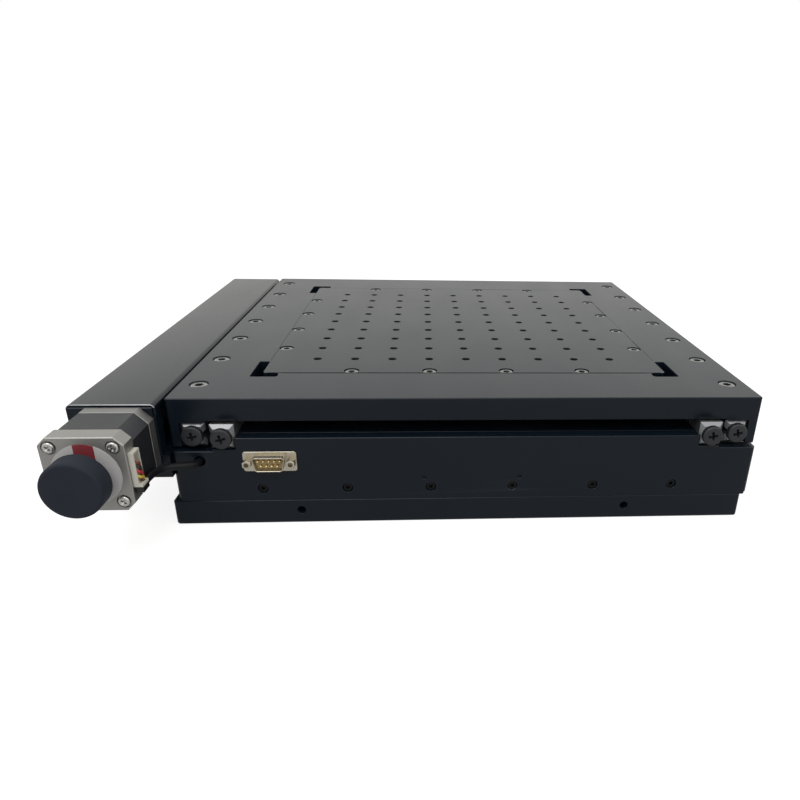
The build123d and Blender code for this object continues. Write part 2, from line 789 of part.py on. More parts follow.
with BuildPart() as drive_rear_plate:
    with BuildSketch(front_plane(bed_rear)):
        Polygon(*drive_plate_outline(), align=None)
    extrude(amount=-drive_plate_thickness)
    bored(rear_plane(drive_rear), mirrored(plate_screw_points), m4_shank, m4_head, plate_bore,
          drive_plate_thickness, thread_fit)
write(drive_rear_plate, "drive_rear_plate")

plate_screw_seats = [
    (front_plane(drive_front + plate_bore), plate_screw_points),
    (rear_plane(drive_rear - plate_bore), mirrored(plate_screw_points)),
]
drive_plate_screws = screws(plate_screw_seats, m4_head, m4_head_height, m4_shank,
                            drive_plate_thickness - plate_bore + plate_screw_grip)
write(drive_plate_screws, "drive_plate_screws")

with BuildPart() as drive_cover:
    with BuildSketch(front_plane(drive_front + lid_setback)):
        Polygon(
            (drive_left, drive_bottom),
            (drive_right, drive_bottom),
            (drive_right, drive_top),
            (drive_left, drive_top),
            align=None,
        )
        Polygon(
            (plate_left, 0),
            (drive_right - lid_thickness, 0),
            (drive_right - lid_thickness, lid_underside),
            (plate_left, lid_underside),
            align=None,
            mode=Mode.SUBTRACT,
        )
        Polygon(
            (plate_left, 0),
            (drive_right, 0),
            (drive_right, lid_lip_bottom),
            (plate_left, lid_lip_bottom),
            align=None,
            mode=Mode.SUBTRACT,
        )
    extrude(amount=-(drive_rear - drive_front - 2 * lid_setback))
    bends = drive_cover.edges().filter_by(Axis.Y).group_by(Axis.Z)[-1]
    fillet(bends, lid_bend)
    with Locations(left_plane(drive_left)):
        with Locations(*lid_points):
            Hole(m3_head / 2 + thread_fit, lid_thickness)
write(drive_cover, "drive_cover")
cover_screws = screws([(left_plane(plate_left), lid_points)], m3_head, lid_thickness, m3_shank,
                      lid_screw_grip)
write(cover_screws, "cover_screws")


# ---------------------------------------------------------------- drive screw, bearings and nut
def on_axis(start, diameter, length):
    """Add a cylinder on the drive axis, from start towards the rear."""
    with BuildPart(axis_plane(start), mode=Mode.PRIVATE) as piece:
        Cylinder(diameter / 2, length, align=(Align.CENTER, Align.CENTER, Align.MAX))
    return piece.part


def stepped(steps):
    """A turned piece on the drive axis: each step is a start, a diameter and a length."""
    with BuildPart() as turned:
        for start, diameter, length in steps:
            add(on_axis(start, diameter, length))
    return turned


def bearing_block(start, length, points):
    """A bearing block that stands on the bed, bored for its bearing and tapped from below."""
    with BuildPart() as block:
        with BuildSketch(front_plane(start)):
            with Locations((motor_x, (bed_top + motor_z + block_height_over_axis) / 2)):
                Rectangle(block_width, motor_z + block_height_over_axis - bed_top)
        extrude(amount=-length)
        top_edges = block.edges().filter_by(Axis.Y).group_by(Axis.Z)[-1]
        chamfer(top_edges, block_chamfer)
        add(on_axis(start, bearing_outer + 2 * thread_fit, length), mode=Mode.SUBTRACT)
        drilled(under_plane(bed_top), [(x, -y) for x, y in points], m4_shank / 2 + thread_fit,
                block_screw_grip)
    return block


front_bearing_block = bearing_block(front_block_start, front_block_length, front_block_points)
write(front_bearing_block, "front_bearing_block")
rear_bearing_block = bearing_block(rear_block_start, rear_block_length, rear_block_points)
write(rear_bearing_block, "rear_bearing_block")
block_screws = screws([(under_plane(drive_bottom + block_bore), block_points)], m4_head,
                      m4_head_height, m4_shank, bed_floor - block_bore + block_screw_grip - flush_depth)
write(block_screws, "block_screws")

bearing_starts = (
    front_block_start,
    front_block_start + front_block_length - bearing_width,
    rear_block_start + (rear_block_length - bearing_width) / 2,
)
inner_race_outer = journal_diameter + 2 * thread_fit + 2 * bearing_race
with BuildPart() as bearing_outer_rings:
    for start in bearing_starts:
        add(on_axis(start, bearing_outer, bearing_width))
    for start in bearing_starts:
        add(on_axis(start, inner_race_outer + 2 * running_gap, bearing_width), mode=Mode.SUBTRACT)
        add(on_axis(start + shield_thickness, bearing_outer - 2 * bearing_race,
                    bearing_width - 2 * shield_thickness), mode=Mode.SUBTRACT)
write(bearing_outer_rings, "bearing_outer_rings")

with BuildPart() as bearing_inner_rings:
    for start in bearing_starts:
        add(on_axis(start, inner_race_outer, bearing_width))
    for start in bearing_starts:
        add(on_axis(start, journal_diameter + 2 * thread_fit, bearing_width), mode=Mode.SUBTRACT)
write(bearing_inner_rings, "bearing_inner_rings")

screw_start = drive_front + screw_setback
shoulder_start = front_block_start - lock_nut_length - lock_nut_gap
thread_start = front_block_start + front_block_length + shoulder_gap
thread_end = rear_block_start - 2 * shoulder_gap
screw_end = rear_block_start + rear_block_length - shoulder_gap
ball_screw = stepped([
    (screw_start, coupling_journal, shoulder_start - screw_start),
    (shoulder_start, journal_diameter, thread_start - shoulder_start),
    (thread_start, screw_diameter, thread_end - thread_start),
    (thread_end, journal_diameter, screw_end - thread_end),
])
write(ball_screw, "ball_screw")

with BuildPart() as lock_nut:
    add(on_axis(front_block_start - lock_nut_length, lock_nut_diameter, lock_nut_length))
    add(on_axis(front_block_start - lock_nut_length, journal_diameter + 2 * thread_fit, lock_nut_length),
        mode=Mode.SUBTRACT)
write(lock_nut, "lock_nut")

shaft_end = drive_front + motor_shaft_front
coupling_start = drive_front + coupling_setback
with BuildPart() as shaft_coupling:
    add(on_axis(coupling_start, coupling_diameter, coupling_length))
    add(on_axis(coupling_start, motor_shaft_diameter + 2 * thread_fit,
                shaft_end - coupling_start + bore_overrun), mode=Mode.SUBTRACT)
    add(on_axis(screw_start - bore_overrun, coupling_journal + 2 * thread_fit,
                coupling_length), mode=Mode.SUBTRACT)
    ring_cut = on_axis(coupling_start, 2 * coupling_diameter, coupling_slit)
    ring_core = on_axis(coupling_start, coupling_core, coupling_slit)
    for index in range(coupling_slits):
        slit_start = (index - (coupling_slits - 1) / 2) * 2 * coupling_slit + coupling_length / 2
        add((ring_cut - ring_core).moved(Location((0, slit_start, 0))), mode=Mode.SUBTRACT)
write(shaft_coupling, "shaft_coupling")

nut_front = table_rest_y - bracket_half_length
with BuildPart() as ball_nut:
    add(on_axis(nut_front - nut_flange_length, nut_flange_diameter, nut_flange_length))
    with BuildSketch(axis_plane(nut_front - nut_flange_length)):
        for side in (-1, 1):
            with Locations((0, side * (nut_flange_flat + nut_flange_diameter / 2))):
                Rectangle(nut_flange_diameter, nut_flange_diameter)
    extrude(amount=-nut_flange_length, mode=Mode.SUBTRACT)
    add(on_axis(nut_front, nut_diameter, nut_length))
    add(on_axis(nut_front - nut_flange_length, screw_diameter + 2 * running_gap,
                nut_flange_length + nut_length), mode=Mode.SUBTRACT)
    with BuildSketch(axis_plane(nut_front - nut_flange_length)):
        with PolarLocations(nut_screw_circle / 2, nut_screw_count, start_angle=nut_screw_angle):
            Circle(m3_shank / 2 + thread_fit)
    extrude(amount=-nut_flange_length, mode=Mode.SUBTRACT)
write(ball_nut, "ball_nut")

bracket_left = motor_x - bracket_half_width
bracket_bottom = bed_top + bracket_floor_gap
with BuildPart() as nut_bracket:
    with BuildSketch(front_plane(nut_front)):
        Polygon(
            (bracket_left, bracket_bottom),
            (-base_side - bracket_flange_thickness, bracket_bottom),
            (-base_side - bracket_flange_thickness, bracket_top),
            (bracket_left, bracket_top),
            align=None,
        )
    extrude(amount=-2 * bracket_half_length)
    with BuildSketch(left_plane(-base_side)):
        with Locations((-table_rest_y, (rail_seat_z + bracket_top) / 2)):
            Rectangle(2 * bracket_flange_half, bracket_top - rail_seat_z)
    extrude(amount=bracket_flange_thickness)
    add(on_axis(nut_front, nut_diameter + 2 * thread_fit, 2 * bracket_half_length), mode=Mode.SUBTRACT)
    bored(left_plane(-base_side - bracket_flange_thickness), bracket_hole_points, m4_shank, m4_head,
          m4_head_height, bracket_flange_thickness, thread_fit)
    with BuildSketch(axis_plane(nut_front)):
        with PolarLocations(nut_screw_circle / 2, nut_screw_count, start_angle=nut_screw_angle):
            Circle(m3_shank / 2 + thread_fit)
    extrude(amount=-block_screw_grip, mode=Mode.SUBTRACT)
write(nut_bracket, "nut_bracket")

bracket_screw_seat = left_plane(-base_side - bracket_flange_thickness + m4_head_height)
bracket_screws = screws([(bracket_screw_seat, bracket_hole_points)], m4_head, m4_head_height, m4_shank,
                        bracket_flange_thickness - m4_head_height + bracket_screw_grip)
write(bracket_screws, "bracket_screws")

with BuildPart() as nut_screws:
    nut_screw_plane = axis_plane(nut_front - nut_flange_length)
    with BuildSketch(nut_screw_plane):
        with PolarLocations(nut_screw_circle / 2, nut_screw_count, start_angle=nut_screw_angle):
            Circle(m3_head / 2)
    extrude(amount=m3_head_height)
    with BuildSketch(nut_screw_plane):
        with PolarLocations(nut_screw_circle / 2, nut_screw_count, start_angle=nut_screw_angle):
            Circle(m3_shank / 2)
    extrude(amount=-nut_flange_length - block_screw_grip + flush_depth)
write(nut_screws, "nut_screws")

switch_front_y = nut_front - nut_flange_length - m3_head_height - travel_front
switch_rear_y = table_rest_y + bracket_half_length + travel_rear
with BuildPart() as limit_switches:
    for contact_y, away in ((switch_front_y, -1), (switch_rear_y, 1)):
        body_y = contact_y + away * (switch_lever_gap + switch_size[1] / 2)
        lever_y = contact_y + away * (switch_lever_gap + switch_lever[1] / 2)
        with BuildSketch(Plane.XY.offset(bed_top)):
            with Locations((plate_left + switch_wall_gap + switch_size[0] / 2, body_y)):
                Rectangle(switch_size[0], switch_size[1])
        extrude(amount=switch_size[2])
        with BuildSketch(Plane.XY.offset(bed_top + switch_size[2] - switch_lever[2])):
            with Locations((plate_left + switch_wall_gap + switch_size[0] + switch_lever[0] / 2, lever_y)):
                Rectangle(switch_lever[0], switch_lever[1])
        extrude(amount=switch_lever[2])
write(limit_switches, "limit_switches")

# ---------------------------------------------------------------- motor and knob


def chamfered_square(plane, chamfer_size, length):
    """A square motor section with its corners cut off, from the plane towards the front."""
    with BuildPart() as block:
        with BuildSketch(plane) as section:
            Rectangle(motor_width, motor_width)
            chamfer(section.vertices(), chamfer_size)
        extrude(amount=length)
    return block.part


with BuildPart() as motor_front_flange:
    add(chamfered_square(axis_plane(drive_front), motor_flange_chamfer, motor_flange))
    add(on_axis(drive_front, motor_pilot, motor_pilot_height))
    add(on_axis(flange_rear, motor_shaft_diameter + 2 * running_gap, motor_flange + motor_pilot_height),
        mode=Mode.SUBTRACT)
    drilled(rear_plane(drive_front), mirrored(motor_bolts), m3_shank / 2 + thread_fit, motor_screw_grip)
write(motor_front_flange, "motor_front_flange")

with BuildPart() as motor_stack:
    add(chamfered_square(axis_plane(flange_rear), motor_flange_chamfer, motor_stack_length))
    add(on_axis(stack_rear, rotor_diameter + 2 * air_gap, motor_stack_length), mode=Mode.SUBTRACT)
    drilled(front_plane(stack_rear), motor_bolts, m3_shank / 2 + thread_fit, motor_stack_length)
write(motor_stack, "motor_stack")

plug_bottom = motor_z - plug_drop
boot_bottom = motor_z - boot_drop
plug_front = bell_rear + plug_front_wall
plug_length = motor_bell - plug_front_wall - plug_rear_wall
with BuildPart() as motor_rear_bell:
    add(chamfered_square(axis_plane(stack_rear), motor_bell_chamfer, motor_bell))
    add(on_axis(bell_rear, motor_shaft_diameter + 2 * running_gap, motor_bell), mode=Mode.SUBTRACT)
    bored(front_plane(bell_rear), motor_bolts, m3_shank, pan_head, pan_recess, motor_bell, bore_fit)
    with BuildSketch(Plane.XY.offset(plug_bottom - running_gap)):
        with Locations((motor_side, plug_front - running_gap)):
            Rectangle(2 * (plug_sink + running_gap), 2 * motor_bell, align=(Align.CENTER, Align.MIN))
    extrude(amount=plug_height + 2 * running_gap, mode=Mode.SUBTRACT)
write(motor_rear_bell, "motor_rear_bell")

motor_screws = screws([(front_plane(bell_rear + pan_recess), motor_bolts)], pan_head, pan_head_height,
                      m3_shank, motor_bell + motor_stack_length - pan_recess - flush_depth, pan_head_crown)
write(motor_screws, "motor_screws")
motor_mount_seat = rear_plane(bed_front - m3_head_height)
motor_mount_screws = screws([(motor_mount_seat, mirrored(motor_bolts))], m3_head, m3_head_height, m3_shank,
                            drive_plate_thickness - m3_head_height + motor_screw_grip - flush_depth)
write(motor_mount_screws, "motor_mount_screws")

with BuildPart() as motor_label:
    add(on_axis(bell_rear - label_thickness, label_diameter, label_thickness))
    add(on_axis(bell_rear - label_thickness, label_bore, label_thickness), mode=Mode.SUBTRACT)
write(motor_label, "motor_label")

motor_shaft = stepped([
    (knob_rear - knob_bore_depth, motor_shaft_diameter, shaft_end - knob_rear + knob_bore_depth),
    (stack_rear + air_gap, rotor_diameter, motor_stack_length - 2 * air_gap),
])
write(motor_shaft, "motor_shaft")

with BuildPart() as hand_knob:
    add(on_axis(knob_front, knob_diameter, knob_thickness))
    fillet(hand_knob.edges().filter_by(GeomType.CIRCLE), knob_edge)
    bore_front = knob_rear - knob_bore_depth - running_gap
    add(on_axis(bore_front, motor_shaft_diameter + 2 * thread_fit, knob_bore_depth + running_gap),
        mode=Mode.SUBTRACT)
write(hand_knob, "hand_knob")

with BuildPart() as motor_connector:
    with BuildSketch(Plane.XY.offset(plug_bottom)):
        with Locations((motor_side - plug_sink, plug_front)):
            Rectangle(plug_sink + plug_proud, plug_length, align=(Align.MIN, Align.MIN))
    extrude(amount=plug_height)
    with BuildSketch(Plane.XY.offset(boot_bottom + boot_height)):
        with Locations((motor_side + plug_proud - plug_pocket, plug_front + plug_wall)):
            Rectangle(plug_pocket, plug_length - 2 * plug_wall, align=(Align.MIN, Align.MIN))
    extrude(amount=plug_bottom + plug_height - plug_wall - boot_bottom - boot_height, mode=Mode.SUBTRACT)
    with BuildSketch(Plane.XY.offset(boot_bottom)):
        with Locations((motor_side + running_gap, plug_front)):
            Rectangle(boot_proud - running_gap, plug_length, align=(Align.MIN, Align.MIN))
    extrude(amount=boot_height)
write(motor_connector, "motor_connector")

# ---------------------------------------------------------------- signal connector and cable
connector_middle = (connector_x, connector_z)
with BuildPart() as connector_shell:
    with BuildSketch(front_plane(base_front)):
        with Locations(connector_middle):
            RectangleRounded(*connector_flange, connector_flange_radius)
    extrude(amount=connector_flange_thickness)
    with BuildSketch(front_plane(base_front)) as shell_face:
        with Locations(connector_middle):
            Polygon(*connector_outline(0), align=None)
        fillet(shell_face.vertices(), shell_corner)
    extrude(amount=shell_reach)
    with BuildSketch(front_plane(base_front)) as shell_inside:
        with Locations(connector_middle):
            Polygon(*connector_outline(-shell_wall), align=None)
        fillet(shell_inside.vertices(), shell_corner - shell_wall)
    extrude(amount=shell_reach, mode=Mode.SUBTRACT)
    drilled(front_plane(base_front - connector_flange_thickness), standoff_points,
            standoff_shank / 2 + thread_fit, connector_flange_thickness)
write(connector_shell, "connector_shell")

pin_points = [
    (connector_x + (n - (count - 1) / 2) * pin_pitch, connector_z + row * pin_row_gap / 2)
    for count, row in ((5, 1), (4, -1))
    for n in range(count)
]
with BuildPart() as connector_insulator:
    with BuildSketch(front_plane(base_front - shell_reach + insulator_sink)) as insulator_face:
        with Locations(connector_middle):
            Polygon(*connector_outline(-shell_wall - thread_fit), align=None)
        fillet(insulator_face.vertices(), shell_corner - shell_wall)
    extrude(amount=-(shell_reach - insulator_sink + insulator_rear))
    drilled(front_plane(base_front - shell_reach + insulator_sink), pin_points,
            pin_diameter / 2 + thread_fit, shell_reach - insulator_sink + insulator_rear)
write(connector_insulator, "connector_insulator")

with BuildPart() as connector_pins:
    with BuildSketch(front_plane(base_front - pin_reach)):
        with Locations(*pin_points):
            Circle(pin_diameter / 2)
    extrude(amount=-(pin_reach + insulator_rear + pin_tail))
write(connector_pins, "connector_pins")

with BuildPart() as connector_standoffs:
    with BuildSketch(front_plane(base_front - connector_flange_thickness)):
        with Locations(*standoff_points):
            RegularPolygon(standoff_across_flats / 2, 6, major_radius=False)
    extrude(amount=standoff_length)
    with BuildSketch(front_plane(base_front - connector_flange_thickness)):
        with Locations(*standoff_points):
            Circle(standoff_shank / 2)
    extrude(amount=-(connector_flange_thickness + end_plate_thickness - flush_depth))
write(connector_standoffs, "connector_standoffs")


def bend_radii(route):
    """The radius of each bend: as large as its two runs allow."""
    points = [Vector(*point) for point in route]
    runs = [end - start for start, end in zip(points, points[1:])]
    return [
        0.45 * min(run.length, following.length) / tan(radians(run.get_angle(following)) / 2)
        for run, following in zip(runs, runs[1:])
    ]


cable_radii = bend_radii(cable_route)
print("cable bend radii, mm:", [round(radius, 1) for radius in cable_radii])
with BuildPart() as motor_cable:
    with BuildLine() as cable_line:
        FilletPolyline(*cable_route, radius=cable_radii)
    with BuildSketch(Plane(cable_line.line @ 0, z_dir=cable_line.line % 0)):
        Circle(cable_diameter / 2)
    sweep()
cable_length = sum(edge.length for edge in cable_line.edges())
cable_solid = pi * cable_diameter**2 / 4 * cable_length
print("cable length, mm:", round(cable_length, 1))
print("cable volume over section times length:", round(motor_cable.part.volume / cable_solid, 4))
write(motor_cable, "motor_cable")
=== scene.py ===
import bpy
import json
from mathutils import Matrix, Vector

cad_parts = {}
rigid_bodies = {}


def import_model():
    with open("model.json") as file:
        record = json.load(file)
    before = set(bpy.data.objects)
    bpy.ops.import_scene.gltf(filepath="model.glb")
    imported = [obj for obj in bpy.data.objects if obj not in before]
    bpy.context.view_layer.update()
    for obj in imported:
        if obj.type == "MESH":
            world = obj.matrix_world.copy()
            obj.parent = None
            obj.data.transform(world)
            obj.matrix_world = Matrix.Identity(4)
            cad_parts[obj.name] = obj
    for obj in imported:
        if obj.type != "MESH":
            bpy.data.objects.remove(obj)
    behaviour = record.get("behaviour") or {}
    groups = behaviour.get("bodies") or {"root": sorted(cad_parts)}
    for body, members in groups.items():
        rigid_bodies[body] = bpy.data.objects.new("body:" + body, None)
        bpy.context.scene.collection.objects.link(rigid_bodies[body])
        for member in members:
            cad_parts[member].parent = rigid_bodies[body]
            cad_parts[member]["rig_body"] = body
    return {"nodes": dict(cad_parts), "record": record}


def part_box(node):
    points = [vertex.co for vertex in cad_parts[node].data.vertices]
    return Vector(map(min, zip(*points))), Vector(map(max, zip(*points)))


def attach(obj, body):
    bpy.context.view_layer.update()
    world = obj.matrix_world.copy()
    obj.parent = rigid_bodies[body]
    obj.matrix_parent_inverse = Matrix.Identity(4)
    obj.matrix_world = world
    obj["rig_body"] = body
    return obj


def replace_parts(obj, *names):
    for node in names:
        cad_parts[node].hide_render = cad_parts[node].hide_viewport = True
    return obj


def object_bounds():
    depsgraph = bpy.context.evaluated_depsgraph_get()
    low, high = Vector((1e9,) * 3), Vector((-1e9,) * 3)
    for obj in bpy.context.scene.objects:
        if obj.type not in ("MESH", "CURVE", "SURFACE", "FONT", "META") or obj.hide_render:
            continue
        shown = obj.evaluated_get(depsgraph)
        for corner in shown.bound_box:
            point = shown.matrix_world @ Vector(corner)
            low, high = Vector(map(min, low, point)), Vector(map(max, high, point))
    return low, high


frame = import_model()
cad_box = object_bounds()

# %% Imports and units
import json
from math import atan2, cos, pi, radians, sin

import bmesh
import bpy
from mathutils import Matrix, Vector

mm = 0.001
slot_of = {part["node"]: part["material_slot"] for part in frame["record"]["subparts"]}
print("material slots:", sorted(set(slot_of.values())))

# %% [markdown]
# ## The camera
#
# A camera is a place, a direction and a lens. The direction is three turns: yaw about the
# upright, pitch down to the object, and a slight roll. The lens is given as a focal length
# in pixels of a square picture, and only its share of the picture's side is used, so it
# holds for any picture size. The shift moves the frame without turning the camera, which
# keeps upright edges as they are.
# %% Camera
camera_place = Vector((-29.35, -531.75, 217.59)) * mm
camera_yaw = -0.082
camera_pitch = 0.425
camera_roll = 0.027
image_side = 800
focal_pixels = 663.96
centre_pixel = (473.07, 439.11)

camera_data = bpy.data.cameras.new("camera")
camera_data.sensor_width = 36
camera_data.lens = camera_data.sensor_width * focal_pixels / image_side
camera_data.shift_x = 0.5 - centre_pixel[0] / image_side
camera_data.shift_y = centre_pixel[1] / image_side - 0.5
camera_data.clip_start = 0.01
camera = bpy.data.objects.new("camera", camera_data)
turn = (
    Matrix.Rotation(camera_yaw, 4, "Z")
    @ Matrix.Rotation(pi / 2 - camera_pitch, 4, "X")
    @ Matrix.Rotation(camera_roll, 4, "Z")
)
camera.matrix_world = Matrix.Translation(camera_place) @ turn
bpy.context.scene.collection.objects.link(camera)
bpy.context.scene.camera = camera
print("lens:", round(camera_data.lens, 2), "mm, shift:", round(camera_data.shift_x, 4))

# %% [markdown]
# ## Shader maths in plain Python
#
# A material is a graph of small nodes. Wiring it by hand takes a line for each link, so two
# small classes do the wiring. A `Value` is the output of a node, and Python's own operators
# add Math nodes behind it. A `Finish` is a material with its shader, and `node` adds any
# other node: its settings first, then the values or links of its sockets.
# %% Value and Finish
class Value:
    """The output of a shader node, with Python's arithmetic on it."""

    def __init__(self, finish, socket):
        self.finish = finish
        self.socket = socket

    def math(self, operation, *terms):
        """A Math node on these terms, which are values or numbers."""
        return self.finish.node("ShaderNodeMath", {"operation": operation}, dict(enumerate(terms)))

    def __add__(self, other):
        return self.math("ADD", self, other)

    def __radd__(self, other):
        return self.math("ADD", other, self)

    def __mul__(self, other):
        return self.math("MULTIPLY", self, other)

    def __rmul__(self, other):
        return self.math("MULTIPLY", other, self)

    def __gt__(self, other):
        return self.math("GREATER_THAN", self, other)

    def __lt__(self, other):
        return self.math("LESS_THAN", self, other)


class Finish:
    """A material in the making: its node tree and the shader that its values go to."""

    def __init__(self, name, constants=None):
        self.material = bpy.data.materials.new(name)
        self.material.use_nodes = True
        self.tree = self.material.node_tree
        self.shader = self.tree.nodes["Principled BSDF"]
        for socket, value in (constants or {}).items():
            self.shader.inputs[socket].default_value = value

    def node(self, kind, settings=None, inputs=None, output=0):
        """Add a node and give back one of its outputs."""
        made = self.tree.nodes.new(kind)
        for name, value in (settings or {}).items():
            setattr(made, name, value)
        self.link(made, inputs or {})
        return Value(self, made.outputs[output])

    def link(self, node, inputs):
        """Give a node's sockets their values or their links."""
        for name, value in inputs.items():
            if isinstance(value, Value):
                self.tree.links.new(value.socket, node.inputs[name])
            else:
                node.inputs[name].default_value = value

    def place(self, stretch=(1, 1, 1)):
        """Object coordinates, squeezed or stretched along each axis."""
        coordinates = self.node("ShaderNodeTexCoord", output=3)
        return self.node("ShaderNodeMapping", inputs={"Vector": coordinates, "Scale": stretch})

    def axis(self, letter):
        """One object coordinate, in metres."""
        return self.node("ShaderNodeSeparateXYZ", inputs={0: self.place()}, output="XYZ".index(letter))

    def noise(self, size, detail=2.0, stretch=(1, 1, 1)):
        """Cloudy variation whose patches are about this many metres across."""
        inputs = {"Vector": self.place(stretch), "Scale": 1 / size, "Detail": detail}
        return self.node("ShaderNodeTexNoise", inputs=inputs)

    def waves(self, direction, pitch):
        """Even ridges across a direction, one every pitch metres."""
        settings = {"wave_type": "BANDS", "bands_direction": direction}
        inputs = {"Vector": self.place(), "Scale": 2 * pi / (20 * pitch)}
        return self.node("ShaderNodeTexWave", settings, inputs, output=1)

    def mix(self, factor, first, second):
        """A colour between two colours."""
        colours = [value if isinstance(value, Value) else (*value, 1) for value in (first, second)]
        inputs = {0: factor, 6: colours[0], 7: colours[1]}
        return self.node("ShaderNodeMix", {"data_type": "RGBA"}, inputs, output=2)

    def bump(self, height, depth, strength=1.0):
        """A normal for relief of this depth in metres."""
        inputs = {"Height": height, "Distance": depth, "Strength": strength}
        return self.node("ShaderNodeBump", inputs=inputs)

    def paint(self, **inputs):
        """Send values to the shader, whose socket names are written with underscores."""
        self.link(self.shader, {name.replace("_", " "): value for name, value in inputs.items()})
        return self.material


print("shader maths ready")

# %% [markdown]
# ## Black anodised aluminium
#
# The plates are blasted, then anodised and dyed. The oxide is a clear hard skin, so the
# metal behaves like a dark plastic with a satin shine: nearly black from above and grey at a
# low angle, which Fresnel gives by itself. The dye drifts a little over a large plate, and
# the blasting leaves a fine even grain, so one wide noise moves the colour and one fine
# noise moves the roughness and the bump.
# %% Black anodised aluminium
def anodised(name, dark, light, roughness, grain_depth):
    """Satin black metal: two shades of its dye, its roughness and the depth of its grain."""
    finish = Finish(name, {"IOR": 1.31})
    drift = finish.noise(90 * mm, 3.0)
    grain = finish.noise(0.5 * mm, 3.0)
    smears = finish.noise(25 * mm, 4.0, (1, 0.35, 1))
    return finish.paint(
        Base_Color=finish.mix(drift, dark, light),
        Roughness=roughness + 0.07 * smears + 0.06 * grain,
        Normal=finish.bump(grain, grain_depth, 0.5),
    )


plate_black = anodised("plate_black", (0.003, 0.0065, 0.012), (0.0055, 0.0105, 0.0175), 0.24, 0.02 * mm)
cover_black = anodised("cover_black", (0.0035, 0.0065, 0.011), (0.006, 0.0105, 0.0165), 0.2, 0.015 * mm)
print("made:", plate_black.name, cover_black.name)

# %% [markdown]
# ## Steels, castings and plastics
#
# Rails are ground, and grinding leaves fine lines along their length, so their noise is
# stretched a hundred times along Y. Screws are turned and tumbled, so theirs is even. The
# motor's bells are cast and blasted, with a coarser grain than the plates. Its stack is
# hundreds of thin sheets, which show as ridges half a millimetre apart.
# %% Metals
def metal(name, dark, light, roughness, grain, depth, stretch=(1, 1, 1), metallic=1.0):
    """A bare or plated metal: its shades, and the size, depth and stretch of its grain."""
    finish = Finish(name, {"Metallic": metallic})
    patches = finish.noise(20 * mm, 3.0)
    texture = finish.noise(grain, 3.0, stretch)
    return finish.paint(
        Base_Color=finish.mix(patches, dark, light),
        Roughness=roughness + 0.12 * texture + 0.05 * patches,
        Normal=finish.bump(texture, depth, 0.4),
    )


along_y = (1, 0.01, 1)
ground_steel = metal(
    "ground_steel", (0.24, 0.245, 0.26), (0.3, 0.305, 0.32), 0.4, 0.4 * mm, 0.01 * mm, along_y
)
screw_steel = metal("screw_steel", (0.46, 0.46, 0.45), (0.58, 0.58, 0.56), 0.2, 0.6 * mm, 0.01 * mm)
black_oxide = metal(
    "black_oxide", (0.02, 0.021, 0.026), (0.034, 0.035, 0.042), 0.3, 0.8 * mm, 0.02 * mm, metallic=0.35
)
blued_steel = metal("blued_steel", (0.2, 0.2, 0.198), (0.28, 0.28, 0.275), 0.2, 0.8 * mm, 0.02 * mm)
cast_aluminium = metal(
    "cast_aluminium", (0.3, 0.295, 0.285), (0.36, 0.355, 0.34), 0.42, 0.5 * mm, 0.04 * mm
)
flange_aluminium = metal(
    "flange_aluminium", (0.24, 0.238, 0.235), (0.3, 0.297, 0.29), 0.42, 0.5 * mm, 0.04 * mm
)
# A lighter metal painted on the cover's front-top corner as a highlight.
worn_edge = metal("worn_edge", (0.2, 0.21, 0.225), (0.32, 0.33, 0.35), 0.35, 0.5 * mm, 0.01 * mm)
nickel = metal("nickel_plate", (0.46, 0.42, 0.34), (0.56, 0.52, 0.43), 0.22, 1.0 * mm, 0.01 * mm)
gold = metal("gold_flash", (0.72, 0.52, 0.2), (0.85, 0.64, 0.28), 0.2, 0.6 * mm, 0.005 * mm)
brass = metal("cage_brass", (0.5, 0.36, 0.13), (0.66, 0.48, 0.2), 0.28, 0.8 * mm, 0.01 * mm, along_y)
bright_aluminium = metal(
    "turned_aluminium", (0.6, 0.6, 0.6), (0.7, 0.7, 0.7), 0.28, 0.5 * mm, 0.01 * mm
)
print("finishes so far:", len(bpy.data.materials))


# %% Laminated steel and threads
def ridged(name, dark, light, direction, pitch, depth, metallic, roughness):
    """A finish with even ridges: the motor's sheets, or a thread in a hole."""
    finish = Finish(name, {"Metallic": metallic})
    ridges = finish.waves(direction, pitch)
    patches = finish.noise(8 * mm, 3.0)
    return finish.paint(
        Base_Color=finish.mix(ridges * 0.6 + patches * 0.4, dark, light),
        Roughness=roughness + 0.12 * patches,
        Normal=finish.bump(ridges, depth, 0.8),
    )


stack_steel = ridged(
    "stack_steel", (0.014, 0.015, 0.02), (0.03, 0.031, 0.036), "Y", 0.5 * mm, 0.05 * mm, 0.3, 0.36
)
screw_thread = ridged(
    "screw_thread", (0.3, 0.3, 0.29), (0.6, 0.6, 0.58), "Y", 5.0 * mm, 0.8 * mm, 1.0, 0.2
)


# %% Plastics
def plastic(name, dark, light, roughness, grain, depth, ior=1.48):
    """Moulded plastic: its two shades, its shine, and the size and depth of its texture."""
    finish = Finish(name, {"IOR": ior})
    patches = finish.noise(12 * mm, 3.0)
    texture = finish.noise(grain, 2.0)
    return finish.paint(
        Base_Color=finish.mix(patches, dark, light),
        Roughness=roughness + 0.1 * texture,
        Normal=finish.bump(texture, depth, 0.4),
    )


knob_plastic = plastic(
    "knob_plastic", (0.017, 0.021, 0.031), (0.023, 0.028, 0.04), 0.6, 0.6 * mm, 0.03 * mm, 1.25
)
black_plastic = plastic(
    "black_plastic", (0.02, 0.02, 0.021), (0.03, 0.03, 0.03), 0.4, 0.5 * mm, 0.02 * mm
)
white_nylon = plastic("white_nylon", (0.62, 0.6, 0.53), (0.72, 0.7, 0.63), 0.35, 0.6 * mm, 0.01 * mm)

boot_top_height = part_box("motor_connector")[0].z + 3.2 * mm


